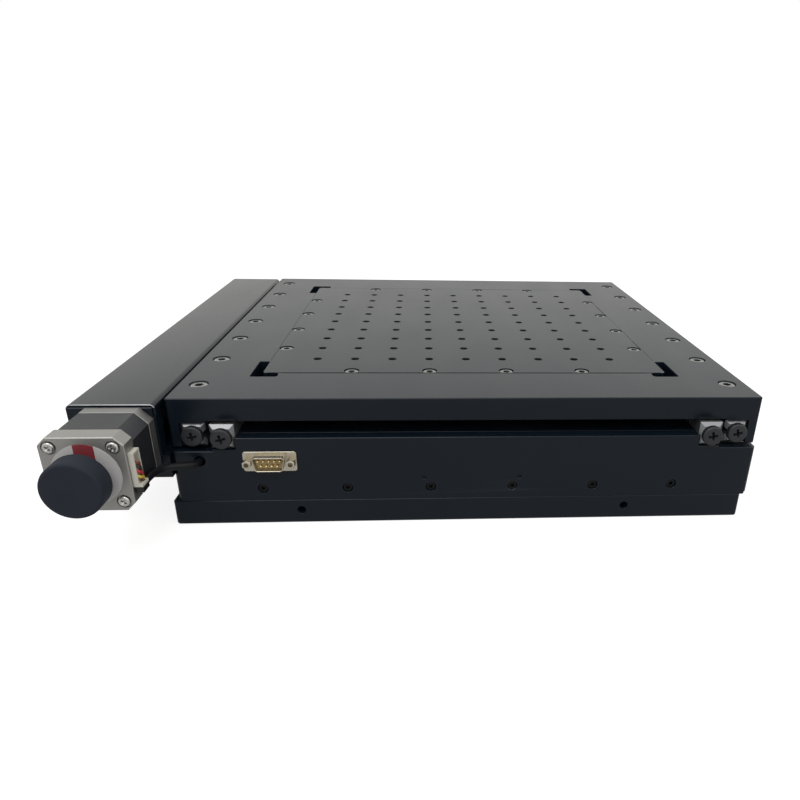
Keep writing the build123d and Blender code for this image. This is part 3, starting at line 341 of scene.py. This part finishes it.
def plug_plastic():
    """White nylon for the plug, black below for its boot."""
    finish = Finish("plug_plastic", {"IOR": 1.48})
    patches = finish.noise(12 * mm, 3.0)
    shell = finish.mix(patches, (0.62, 0.6, 0.53), (0.72, 0.7, 0.63))
    return finish.paint(
        Base_Color=finish.mix(finish.axis("Z") > boot_top_height, (0.006, 0.006, 0.007), shell),
        Roughness=0.35 + 0.1 * patches,
        Normal=finish.bump(finish.noise(0.6 * mm), 0.01 * mm, 0.4),
    )


plug_finish = plug_plastic()
# Near-black painted shade, put in holes and on the screws and pins sunk in them.
hole_black = plastic(
    "hole_black", (0.002, 0.002, 0.003), (0.004, 0.004, 0.005), 0.3, 0.5 * mm, 0.02 * mm, 1.3
)
sleeve_black = plastic(
    "sleeve_black", (0.003, 0.0035, 0.005), (0.005, 0.0055, 0.007), 0.36, 0.7 * mm, 0.04 * mm, 1.3
)
amber_insulator = plastic(
    "amber_insulator", (0.33, 0.26, 0.13), (0.42, 0.34, 0.19), 0.4, 0.6 * mm, 0.01 * mm
)
wire_colours = {
    "brown": ((0.16, 0.045, 0.03), (0.22, 0.065, 0.045)),
    "black": ((0.012, 0.012, 0.012), (0.02, 0.02, 0.02)),
    "red": ((0.42, 0.025, 0.035), (0.55, 0.04, 0.05)),
    "yellow": ((0.5, 0.4, 0.04), (0.62, 0.52, 0.07)),
}
wire_finishes = {
    colour: plastic(f"wire_{colour}", *shades, 0.32, 0.5 * mm, 0.01 * mm)
    for colour, shades in wire_colours.items()
}
print("plastics ready, wires:", sorted(wire_finishes))

# %% [markdown]
# ## The blank label
#
# A round film sits on the motor's rear bell. It stays blank: a pale film with one plain red
# field at its top. The field has a left, a right and a lower side in object coordinates, so
# each is one comparison, and the three multiplied give its mask.
# %% Label film
label_low, label_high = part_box("motor_label")
label_middle = (label_low + label_high) / 2
label_field_x = (label_middle.x - 3.9 * mm, label_middle.x + 6.2 * mm)
label_field_bottom = label_middle.z + 5.8 * mm


def label_film():
    """Pale satin film with a plain red field."""
    finish = Finish("label_film", {"IOR": 1.45})
    across = finish.axis("X")
    inside = (across > label_field_x[0]) * (across < label_field_x[1])
    field = inside * (finish.axis("Z") > label_field_bottom)
    patches = finish.noise(6 * mm, 3.0)
    film = finish.mix(patches, (0.5, 0.48, 0.49), (0.58, 0.555, 0.565))
    red = finish.mix(patches, (0.2, 0.03, 0.04), (0.27, 0.04, 0.05))
    return finish.paint(
        Base_Color=finish.mix(field, film, red),
        Roughness=0.34 + 0.08 * patches,
        Normal=finish.bump(finish.noise(1.5 * mm), 0.01 * mm, 0.3),
    )


label_finish = label_film()

# %% [markdown]
# ## A finish for every node
#
# The record names a material slot for every node, so one table from slot to finish dresses
# the whole model at once. Pieces that need more than a finish are rebuilt further down.
# %% Dress the nodes
finish_of_slot = {
    "black_anodised": plate_black,
    "ground_steel": ground_steel,
    "screw_steel": screw_steel,
    "black_oxide_steel": black_oxide,
    "cage_brass": brass,
    "bare_aluminium": cast_aluminium,
    "lamination_steel": stack_steel,
    "knob_plastic": knob_plastic,
    "label_film": label_finish,
    "white_plastic": white_nylon,
    "cable_sheath": sleeve_black,
    "nickel_plate": nickel,
    "black_plastic": amber_insulator,
    "gold_pins": gold,
}
finish_of_node = {node: finish_of_slot[slot] for node, slot in slot_of.items()}
finish_of_node["drive_cover"] = cover_black
finish_of_node["ball_screw"] = screw_thread
finish_of_node["shaft_coupling"] = bright_aluminium
finish_of_node["limit_switches"] = black_plastic
# The screws and pins at the base's front are painted near black as the shade of their holes.
finish_of_node["end_plate_screws"] = hole_black
finish_of_node["dowel_pins"] = hole_black
finish_of_node["motor_connector"] = plug_finish
finish_of_node["motor_front_flange"] = flange_aluminium
finish_of_node["insert_screws"] = blued_steel
finish_of_node["outer_rail_screws"] = blued_steel
for node, finish in finish_of_node.items():
    target = frame["nodes"][node]
    if not target.material_slots:
        target.data.materials.append(finish)
    for material_slot in target.material_slots:
        material_slot.material = finish
print("dressed", len(finish_of_node), "nodes")

# %% [markdown]
# ## From a bmesh to a finished piece
#
# A bmesh is Blender's mesh while it is being worked on. `finished` turns one into an object
# that rides on a body. Faces that meet at a small angle are shaded as one smooth surface,
# and sharper ones keep their edge. `stand_in` does the same for a piece that takes a node's
# place, so it needs only the node's name.
# %% Finished pieces
smooth_angle = radians(20)
flat_angle = radians(0.3)
merge_distance = 0.001 * mm


def finished(name, shape, body, finishes):
    """Make a piece of a bmesh: shaded, dressed, riding on a body and given its name."""
    mesh = bpy.data.meshes.new(name)
    shape.to_mesh(mesh)
    shape.free()
    mesh.shade_smooth()
    mesh.set_sharp_from_angle(angle=smooth_angle)
    for finish in finishes:
        mesh.materials.append(finish)
    piece = bpy.data.objects.new(name, mesh)
    bpy.context.scene.collection.objects.link(piece)
    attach(piece, body)
    return piece


def stand_in(node, shape, *more_finishes):
    """Make a bmesh the visible form of a node, on the node's own body."""
    body = frame["nodes"][node]["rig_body"]
    finishes = [finish_of_node[node], *more_finishes]
    piece = finished(f"{node}_form", shape, body, finishes)
    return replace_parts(piece, node)


def joined_copy(node):
    """A bmesh of a node with its loose triangles joined and its flat faces made whole."""
    shape = bmesh.new()
    shape.from_mesh(frame["nodes"][node].data)
    bmesh.ops.remove_doubles(shape, verts=shape.verts, dist=merge_distance)
    bmesh.ops.dissolve_limit(shape, angle_limit=flat_angle, verts=shape.verts, edges=shape.edges)
    return shape


# %% [markdown]
# ## Broken edges
#
# No machined edge is truly sharp. The fitter breaks it with a file or a tumbler, a quarter
# of a millimetre wide, and that narrow slope is what catches the light. The bevel operator
# makes it on the long outside corners, which `calc_face_angle_signed` tells from inside
# ones. A face with dozens of holes is one huge polygon, though, and a bevel round each hole
# pulls it out of shape. So a hole's rim is broken as a countersink does it: the wall is cut
# a little below the rim, and the rim is opened out.
# %% Corners
corner_angle = radians(50)
hole_limit = 13 * mm
touch_distance = 0.01 * mm


def outside_corners(shape):
    """The edges where two faces meet at a sharp outside corner."""
    return [
        edge
        for edge in shape.edges
        if len(edge.link_faces) == 2 and edge.calc_face_angle_signed() > corner_angle
    ]


def span_of(verts):
    """The middle of some points, and their span along each axis."""
    low = Vector(min(vert.co[n] for vert in verts) for n in range(3))
    high = Vector(max(vert.co[n] for vert in verts) for n in range(3))
    return (low + high) / 2, high - low


def corner_loops(shape):
    """The outside corners, as lists of edges that touch each other."""
    corners = outside_corners(shape)
    for edge in shape.edges:
        edge.tag = edge in corners
    loops = []
    for start in corners:
        if not start.tag:
            continue
        start.tag = False
        loop = [start]
        for edge in loop:
            touching = [other for vert in edge.verts for other in vert.link_edges if other.tag]
            for other in touching:
                other.tag = False
            loop += touching
        loops.append(loop)
    return loops


# %% Rims of holes
def open_rims(shape, width):
    """Open out the rim of each small hole, and give back how many there are."""
    count = 0
    for loop in corner_loops(shape):
        verts = list({vert: None for edge in loop for vert in edge.verts})
        middle, span = span_of(verts)
        if max(span) > hole_limit or min(span) > touch_distance:
            continue
        axis = list(span).index(min(span))
        faces = {face: None for edge in loop for face in edge.link_faces}
        walls = [face for face in faces if abs(face.normal[axis]) < 0.1]
        ends = [face for face in faces if abs(face.normal[axis]) > 0.9]
        is_hole = all((middle - face.calc_center_median()).dot(face.normal) > 0 for face in walls)
        if not walls or not ends or not is_hole:
            continue
        outward = ends[0].normal.copy()
        around = {part: None for face in walls for part in (*face.edges, *face.verts)}
        bmesh.ops.bisect_plane(
            shape,
            geom=walls + list(around),
            dist=merge_distance,
            plane_co=middle - outward * width,
            plane_no=outward,
        )
        for vert in verts:
            away = vert.co - middle
            vert.co += away.normalized() * width
        count += 1
    return count


# %% Broken edges
def break_edges(shape, edges, width, segments=1):
    """Bevel these edges by a width."""
    bmesh.ops.bevel(
        shape,
        geom=edges,
        offset=width,
        offset_type="OFFSET",
        segments=segments,
        profile=0.5,
        affect="EDGES",
        clamp_overlap=False,
        material=-1,
    )


highlight_slope = 0.3


def paint_front_highlight(shape):
    """Give the second finish, a painted highlight, to the broken corner between the top and the front.
    """
    for face in shape.faces:
        if face.normal.y < -highlight_slope and face.normal.z > highlight_slope:
            face.material_index = 1


rim_break = 0.2 * mm
edge_widths = {
    "base_plate": 0.3,
    "base_body": 0.25,
    "front_end_plate": 0.3,
    "rear_end_plate": 0.3,
    "drive_cover": 0.35,
    "table_plate": 0.25,
    "motor_stack": 0.2,
    "motor_front_flange": 0.4,
    "motor_rear_bell": 0.45,
    "front_bearing_block": 0.3,
    "rear_bearing_block": 0.3,
    "inner_rail_left": 0.25,
    "inner_rail_right": 0.25,
    "outer_rail_left": 0.25,
    "outer_rail_right": 0.25,
}
for node, width in edge_widths.items():
    form = joined_copy(node)
    rims = open_rims(form, rim_break)
    corners = outside_corners(form)
    break_edges(form, corners, width * mm)
    print(node, "rims:", rims, "corners:", len(corners), "faces:", len(form.faces))
    if node == "drive_cover":
        paint_front_highlight(form)
        stand_in(node, form, worn_edge)
    else:
        stand_in(node, form)


# %% [markdown]
# ## The insert and its tapped holes
#
# The insert is a plate with a grid of tapped holes, and each has ridges down its wall that a
# drilled hole lacks. A wall is cut into rings half a pitch apart, and every other ring is
# drawn in to make a crest, so the ridges are real shape and show from any side.
# %% Insert plate
grid_pitch = 25 * mm
tapped_radius = 2.5 * mm
mouth_radius = 3.0 * mm
thread_pitch = 1.0 * mm
thread_depth = 0.35 * mm
front_seam = 1.0 * mm


def from_hole(point, middle):
    """A point's offset, in plan, from the nearest hole of the grid."""
    offset = (point - middle).to_2d()
    return offset - Vector(round(n / grid_pitch) * grid_pitch for n in offset)


def insert_form():
    """The insert with threaded walls in its grid holes, whose walls and mouths are painted near black
    as shade.
    """
    shape = joined_copy("insert_plate")
    low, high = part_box("insert_plate")
    middle = (low + high) / 2
    walls = [
        edge
        for edge in shape.edges
        if (edge.verts[0].co - edge.verts[1].co).to_2d().length < touch_distance
        and from_hole(edge.verts[0].co, middle).length < tapped_radius + 0.05 * mm
    ]
    cuts = round(2 * (high.z - low.z) / thread_pitch) - 1
    # Faces of the holes' walls and mouths take the second finish, near-black painted shade.
    for face in shape.faces:
        reach = max(from_hole(vert.co, middle).length for vert in face.verts)
        centre = from_hole(face.calc_center_median(), middle).length
        if max(reach, centre) < mouth_radius:
            face.material_index = 1
    for vert in shape.verts:
        if vert.co.y - low.y < touch_distance:
            vert.co.y += front_seam
    cut = bmesh.ops.subdivide_edges(shape, edges=walls, cuts=cuts, use_grid_fill=True)
    for vert in cut["geom_inner"]:
        if not isinstance(vert, bmesh.types.BMVert):
            continue
        ring = round((high.z - vert.co.z) / (thread_pitch / 2))
        if ring % 2:
            drawn_in = from_hole(vert.co, middle) * (thread_depth / tapped_radius)
            vert.co -= drawn_in.to_3d()
    print("insert walls:", len(walls), "faces:", len(shape.faces))
    return shape


stand_in("insert_plate", insert_form(), hole_black)

# %% [markdown]
# ## Screws
#
# A cap screw is turned, its top edge is rounded, and a hexagon is punched into its head. A
# cross-head screw has a cross instead. Both recesses start as the same ring of 24 points,
# which is then drawn to a hexagon or a cross by a formula of the angle, and pushed down.
# Each seat gets its own screw, sized from the solid that it replaces and turned by a
# different angle, because nobody lines up screws.
# %% Recess outlines
blank_segments = 24
cross_arm = radians(15)


def recess_reach(form, reach, angle):
    """How far a recess reaches from its middle at an angle: a hexagon, a cross or a round hole."""
    if form == "hexagon":
        return reach / cos((angle + pi / 6) % (pi / 3) - pi / 6)
    if form == "cross":
        from_arm = abs((angle + pi / 4) % (pi / 2) - pi / 4)
        if from_arm < cross_arm:
            return reach * cos(cross_arm) / cos(from_arm)
        return reach * sin(cross_arm) / sin(from_arm)
    return reach


def draw_ring(verts, form, reach):
    """Draw a ring of points about the upright axis to an outline."""
    for vert in verts:
        angle = atan2(vert.co.y, vert.co.x)
        distance = recess_reach(form, reach, angle)
        vert.co.x = distance * cos(angle)
        vert.co.y = distance * sin(angle)


def push_in(shape, face, depth, taper=1.0):
    """Extrude a face downwards, and draw it in towards the axis."""
    pushed = bmesh.ops.extrude_discrete_faces(shape, faces=[face])["faces"][0]
    bmesh.ops.translate(shape, vec=(0, 0, -depth), verts=pushed.verts)
    bmesh.ops.scale(shape, vec=(taper, taper, 1), verts=pushed.verts)
    return pushed


# %% Screw blank
def screw_blank(radius, height, length, look):
    """A screw along the upright axis, the top of its head at the origin."""
    form, reach, depth, taper, edge, edge_steps, shank = look
    shape = bmesh.new()
    bmesh.ops.create_cone(
        shape,
        cap_ends=True,
        segments=blank_segments,
        radius1=radius,
        radius2=radius,
        depth=height,
        matrix=Matrix.Translation((0, 0, -height / 2)),
    )
    head_top = max(shape.faces, key=lambda face: face.calc_center_median().z)
    break_edges(shape, list(head_top.edges), edge * radius, edge_steps)
    head_top = max(shape.faces, key=lambda face: face.calc_center_median().z)
    bmesh.ops.inset_individual(shape, faces=[head_top], thickness=(1 - edge) * radius * 0.2)
    draw_ring(head_top.verts, form, reach * radius)
    push_in(shape, head_top, depth * height, taper)
    seat = min(shape.faces, key=lambda face: face.calc_center_median().z)
    bmesh.ops.inset_individual(shape, faces=[seat], thickness=(1 - shank) * radius)
    push_in(shape, seat, length - height)
    return shape


# %% Seats of the screws
def solids_of(node):
    """The corners of each separate solid of a node, in order of place."""
    shape = bmesh.new()
    shape.from_mesh(frame["nodes"][node].data)
    bmesh.ops.remove_doubles(shape, verts=shape.verts, dist=merge_distance)
    found = []
    for start in shape.verts:
        if start.tag:
            continue
        start.tag = True
        cluster = [start]
        for vert in cluster:
            for edge in vert.link_edges:
                other = edge.other_vert(vert)
                if not other.tag:
                    other.tag = True
                    cluster.append(other)
        found.append([vert.co.copy() for vert in cluster])
    shape.free()
    return found


def seat_of(corners, axis, shank):
    """A screw: the middle of its head's top, its way, the head's radius and height, its length."""
    low = [min(co[n] for co in corners) for n in range(3)]
    high = [max(co[n] for co in corners) for n in range(3)]
    middle = Vector((low[n] + high[n]) / 2 for n in range(3))
    across = [n for n in range(3) if n != axis]
    radius = (high[across[0]] - low[across[0]]) / 2
    reach = [sum((co[n] - middle[n]) ** 2 for n in across) ** 0.5 for co in corners]
    head = [co[axis] for co, far in zip(corners, reach) if far > radius * (1 + shank) / 2]
    way = 1 if sum(head) / len(head) > middle[axis] else -1
    top = middle.copy()
    top[axis] = max(head) if way > 0 else min(head)
    facing = Vector((0, 0, 0))
    facing[axis] = way
    return top, facing, radius, max(head) - min(head), high[axis] - low[axis]


# %% Painted highlights on screw edges
edge_highlight_sets = ("insert_screws", "outer_rail_screws")
edge_slope = (0.2, 0.95)
edge_reach = 0.8


def paint_edge_highlights(blank, radius):
    """Give the second finish, a painted highlight, to the rounded edge of a head."""
    for face in blank.faces:
        outer = face.calc_center_median().to_2d().length > edge_reach * radius
        if outer and edge_slope[0] < face.normal.z < edge_slope[1]:
            face.material_index = 1


# %% Set of screws
def add_copy(group, blank, place):
    """Move a blank to its place and add it to a group."""
    bmesh.ops.transform(blank, matrix=place, verts=blank.verts)
    loose = bpy.data.meshes.new("loose")
    blank.to_mesh(loose)
    blank.free()
    group.from_mesh(loose)
    bpy.data.meshes.remove(loose)


def screw_set(node, axis, look, step, lift=0.0):
    """Rebuild a node's screws with their recesses, each turned a step further than the last."""
    group = bmesh.new()
    for index, corners in enumerate(solids_of(node)):
        top, facing, radius, height, length = seat_of(corners, axis, look[-1])
        radius *= head_sizes.get(node, 1.0)
        top += facing * lift
        blank = screw_blank(radius, height + lift, length + lift, look)
        face_out = facing.to_track_quat("Z", "Y").to_matrix().to_4x4()
        turn = face_out @ Matrix.Rotation(index * step, 4, "Z")
        # These sets take screw steel on their head edges as a painted highlight.
        if node in edge_highlight_sets:
            paint_edge_highlights(blank, radius)
        add_copy(group, blank, Matrix.Translation(top) @ turn)
    print(node, "screws:", index + 1, "faces:", len(group.faces))
    return stand_in(node, group, *([screw_steel] if node in edge_highlight_sets else []))


# form, reach, depth, taper of the recess; edge and its steps; shank. Lengths are shares of
# the head's radius, and the recess's depth is a share of its height.
cap_look = ("hexagon", 0.47, 0.55, 0.9, 0.1, 2, 0.58)
cross_look = ("cross", 0.6, 0.6, 0.45, 0.3, 5, 0.48)
wide_cross_look = ("cross", 0.5, 0.8, 0.5, 0.16, 5, 0.37)
upright = 2
fore_and_aft = 1
sideways = 0
golden_turn = 2.4
slight_turn = 0.08
rail_end_size = 0.93
head_sizes = {"base_rail_end_screws": rail_end_size, "table_rail_end_screws": rail_end_size}
head_lifts = {"outer_rail_screws": 1.4 * mm}
screw_nodes = {
    "insert_screws": (upright, cap_look, golden_turn),
    "outer_rail_screws": (upright, cap_look, golden_turn),
    "inner_rail_screws": (upright, cap_look, golden_turn),
    "base_plate_screws": (upright, cap_look, golden_turn),
    "block_screws": (upright, cap_look, golden_turn),
    "end_plate_screws": (fore_and_aft, cap_look, golden_turn),
    "drive_plate_screws": (fore_and_aft, cap_look, golden_turn),
    "motor_mount_screws": (fore_and_aft, cap_look, golden_turn),
    "nut_screws": (fore_and_aft, cap_look, golden_turn),
    "drive_bed_screws": (sideways, cap_look, golden_turn),
    "bracket_screws": (sideways, cap_look, golden_turn),
    "cover_screws": (sideways, cap_look, golden_turn),
    "motor_screws": (fore_and_aft, cross_look, golden_turn),
    "base_rail_end_screws": (fore_and_aft, wide_cross_look, slight_turn),
    "table_rail_end_screws": (fore_and_aft, wide_cross_look, slight_turn),
}
for node, (axis, look, step) in screw_nodes.items():
    screw_set(node, axis, look, step, head_lifts.get(node, 0.0))

# %% [markdown]
# ## The motor's wires
#
# The plug is a white shell, open on its outer side, with a black boot under it where the
# wires leave for the base. Four coloured wires come out of the opening and bend down into
# the boot. A wire is a curve with a round bevel: its own points are its path, so a bend is
# moved by moving one point.
# %% Wires
wire_radius = 0.8 * mm
boot_proud = 1.9 * mm
wire_heights = {"brown": 17.6, "black": 15.0, "red": 12.0, "yellow": 9.0}
plug_low, plug_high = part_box("motor_connector")


def wire(colour, height, step):
    """A short wire from the plug's opening, out, and down into the boot."""
    face_x = plug_high.x - boot_proud
    front_y = plug_low.y
    start_z = plug_low.z + height
    points = [
        (face_x - 3.5 * mm, front_y + 2.2 * mm, start_z),
        (face_x - 0.2 * mm, front_y + 1.4 * mm, start_z + 0.5 * mm),
        (face_x + 1.0 * mm, front_y + 1.2 * mm, start_z - 0.6 * mm),
        (face_x + 0.9 * mm, front_y + 3.4 * mm + step, start_z - 1.8 * mm),
        (face_x + 0.2 * mm, front_y + 4.6 * mm + step, plug_low.z + 3.8 * mm),
    ]
    data = bpy.data.curves.new(f"wire_{colour}", "CURVE")
    data.dimensions = "3D"
    data.bevel_depth = wire_radius
    data.bevel_resolution = 3
    data.use_fill_caps = True
    line = data.splines.new("NURBS")
    line.points.add(len(points) - 1)
    for point, place in zip(line.points, points):
        point.co = (*place, 1)
    line.order_u = 3
    line.use_endpoint_u = True
    data.materials.append(wire_finishes[colour])
    piece = bpy.data.objects.new(f"wire_{colour}", data)
    bpy.context.scene.collection.objects.link(piece)
    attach(piece, "base")
    return piece


for number, (colour, height) in enumerate(wire_heights.items()):
    wire(colour, height * mm, number * 0.6 * mm)
print("wires:", len(wire_heights))

# %% [markdown]
# ## The motor cable
#
# A black sleeve runs from the boot to the hole in the front of the base. It is a cord, with
# a length and a way to lie, so it is a NURBS curve through a short list of points. With an
# order of 3 the curve bends gently past each point, as a sleeve does.
# %% Cable
cable_diameter = 4.2 * mm
cable_route = (
    (-177.5, -207.5, 46.8),
    (-177.5, -198.0, 46.8),
    (-173.6, -187.5, 45.4),
    (-164.0, -183.0, 43.8),
    (-159.2, -177.2, 42.6),
    (-159.1, -166.6, 42.5),
    (-155.4, -158.8, 41.8),
)
cable_data = bpy.data.curves.new("motor_cable_form", "CURVE")
cable_data.dimensions = "3D"
cable_data.bevel_depth = cable_diameter / 2
cable_data.bevel_resolution = 8
cable_data.resolution_u = 16
cable_data.use_fill_caps = True
cable_line = cable_data.splines.new("NURBS")
cable_line.points.add(len(cable_route) - 1)
for point, place in zip(cable_line.points, cable_route):
    point.co = (*(Vector(place) * mm), 1)
cable_line.order_u = 3
cable_line.use_endpoint_u = True
cable_data.materials.append(sleeve_black)
cable = bpy.data.objects.new("motor_cable_form", cable_data)
bpy.context.scene.collection.objects.link(cable)
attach(cable, "base")
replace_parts(cable, "motor_cable")
print("cable:", len(cable_route), "points")

# %% [markdown]
# ## The connector's shell
#
# The D-shaped shell of a nine-way connector is drawn from sheet, so its flange and its
# mouth meet in a gentle curve and it looks fuller than its inside measures. The part ahead
# of the flange is widened about its own middle, with the insulator and pins inside it.
# %% Connector shell
mouth_growth = (1.13, 1.0, 1.07)
mouth_half = (10.4 * mm, 5.4 * mm)


def widened(node, width):
    """A node's copy, its D-shaped part widened about the mouth's middle."""
    shape = joined_copy(node)
    low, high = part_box("connector_insulator")
    middle = (low + high) / 2
    mouth = [
        vert
        for vert in shape.verts
        if abs(vert.co.x - middle.x) < mouth_half[0] and abs(vert.co.z - middle.z) < mouth_half[1]
    ]
    bmesh.ops.scale(shape, vec=mouth_growth, space=Matrix.Translation(-middle), verts=mouth)
    break_edges(shape, outside_corners(shape), width * mm)
    return shape


connector_edges = {"connector_shell": 0.12, "connector_insulator": 0.1, "connector_pins": 0.2}
for node, width in connector_edges.items():
    stand_in(node, widened(node, width))
print("mouth widened by", mouth_growth)

# %% [markdown]
# ## The connector's jack posts
#
# Each side of the nine-way connector has a hexagonal post with a threaded hole, which the
# cable's jack screws go into. It is the same blank as a screw, with its outside drawn to a
# hexagon and a round hole for a recess.
# %% Jack posts
post_look = ("round", 0.52, 2.0, 1.0, 0.08, 1, 0.56)


def jack_posts():
    """Hexagonal posts with a hole in each."""
    group = bmesh.new()
    for corners in solids_of("connector_standoffs"):
        top, facing, radius, height, length = seat_of(corners, fore_and_aft, post_look[-1])
        blank = screw_blank(radius, height, length, post_look)
        outside = [vert for vert in blank.verts if vert.co.to_2d().length > radius * 0.9]
        for vert in outside:
            angle = atan2(vert.co.y, vert.co.x)
            distance = vert.co.to_2d().length * recess_reach("hexagon", cos(pi / 6), angle)
            vert.co.x = distance * cos(angle)
            vert.co.y = distance * sin(angle)
        face_out = facing.to_track_quat("Z", "Y").to_matrix().to_4x4()
        add_copy(group, blank, Matrix.Translation(top) @ face_out)
    return group


stand_in("connector_standoffs", jack_posts())

# %% [markdown]
# ## Light, floor and backdrop
#
# A product stands on a white sweep under a large soft lamp. The world is that sweep: white
# for the camera and in reflections, softer where it only lights the object. The floor is a
# pale grey that the camera sees lifted to white, so the object's own shadow stays on it.
# %% World
world = bpy.data.worlds.new("sweep")
bpy.context.scene.world = world
world.use_nodes = True
world_nodes = world.node_tree.nodes
world_links = world.node_tree.links
background = world_nodes["Background"]
sweep_level = 1.0
diffuse_level = 0.6
world_rays = world_nodes.new("ShaderNodeLightPath")
world_level = world_nodes.new("ShaderNodeMapRange")
world_level.inputs["To Min"].default_value = sweep_level
world_level.inputs["To Max"].default_value = diffuse_level
world_links.new(world_rays.outputs["Is Diffuse Ray"], world_level.inputs["Value"])
world_links.new(world_level.outputs["Result"], background.inputs["Strength"])
world_colour = world_nodes.new("ShaderNodeMix")
world_colour.data_type = "RGBA"
world_colour.inputs[6].default_value = (1, 0.995, 0.955, 1)
world_colour.inputs[7].default_value = (1, 1, 1, 1)
world_links.new(world_rays.outputs["Is Camera Ray"], world_colour.inputs[0])
world_links.new(world_colour.outputs[2], background.inputs["Color"])

# %% Floor
floor_side = 12.0
camera_lift = 0.85
mirror_lift = 0.3
floor_shape = bmesh.new()
bmesh.ops.create_grid(floor_shape, x_segments=1, y_segments=1, size=floor_side / 2)
floor_mesh = bpy.data.meshes.new("floor")
floor_shape.to_mesh(floor_mesh)
floor_shape.free()
floor = bpy.data.objects.new("floor", floor_mesh)
bpy.context.scene.collection.objects.link(floor)
floor.location.z = -0.2 * mm
floor_finish = Finish("floor", {"Roughness": 0.9, "Specular IOR Level": 0.1})
camera_ray = floor_finish.node("ShaderNodeLightPath")
glossy_ray = floor_finish.node("ShaderNodeLightPath", output=3)
floor_finish.paint(
    Base_Color=floor_finish.mix(floor_finish.noise(300 * mm), (0.34, 0.34, 0.34), (0.36, 0.36, 0.36)),
    Emission_Color=(1, 1, 1, 1),
    Emission_Strength=camera_ray * camera_lift + glossy_ray * mirror_lift,
)
floor_mesh.materials.append(floor_finish.material)


# %% Lamps
def lamp(name, place, target, size, power):
    """A soft rectangular lamp at a place, aimed at a target."""
    data = bpy.data.lights.new(name, "AREA")
    data.shape = "RECTANGLE"
    data.size, data.size_y = size
    data.energy = power
    light = bpy.data.objects.new(name, data)
    aim = (Vector(target) - Vector(place)).to_track_quat("-Z", "Y")
    light.matrix_world = Matrix.Translation(Vector(place)) @ aim.to_matrix().to_4x4()
    bpy.context.scene.collection.objects.link(light)
    return light


object_middle = (cad_box[0] + cad_box[1]) / 2
lamp("key_lamp", (-0.4, -0.8, 1.35), object_middle, (1.2, 0.8), 9.0)
lamp("fill_lamp", (0.9, -0.9, 0.8), object_middle, (0.8, 0.8), 2.5)

# %% Scene settings
bpy.context.scene.view_settings.view_transform = "Standard"
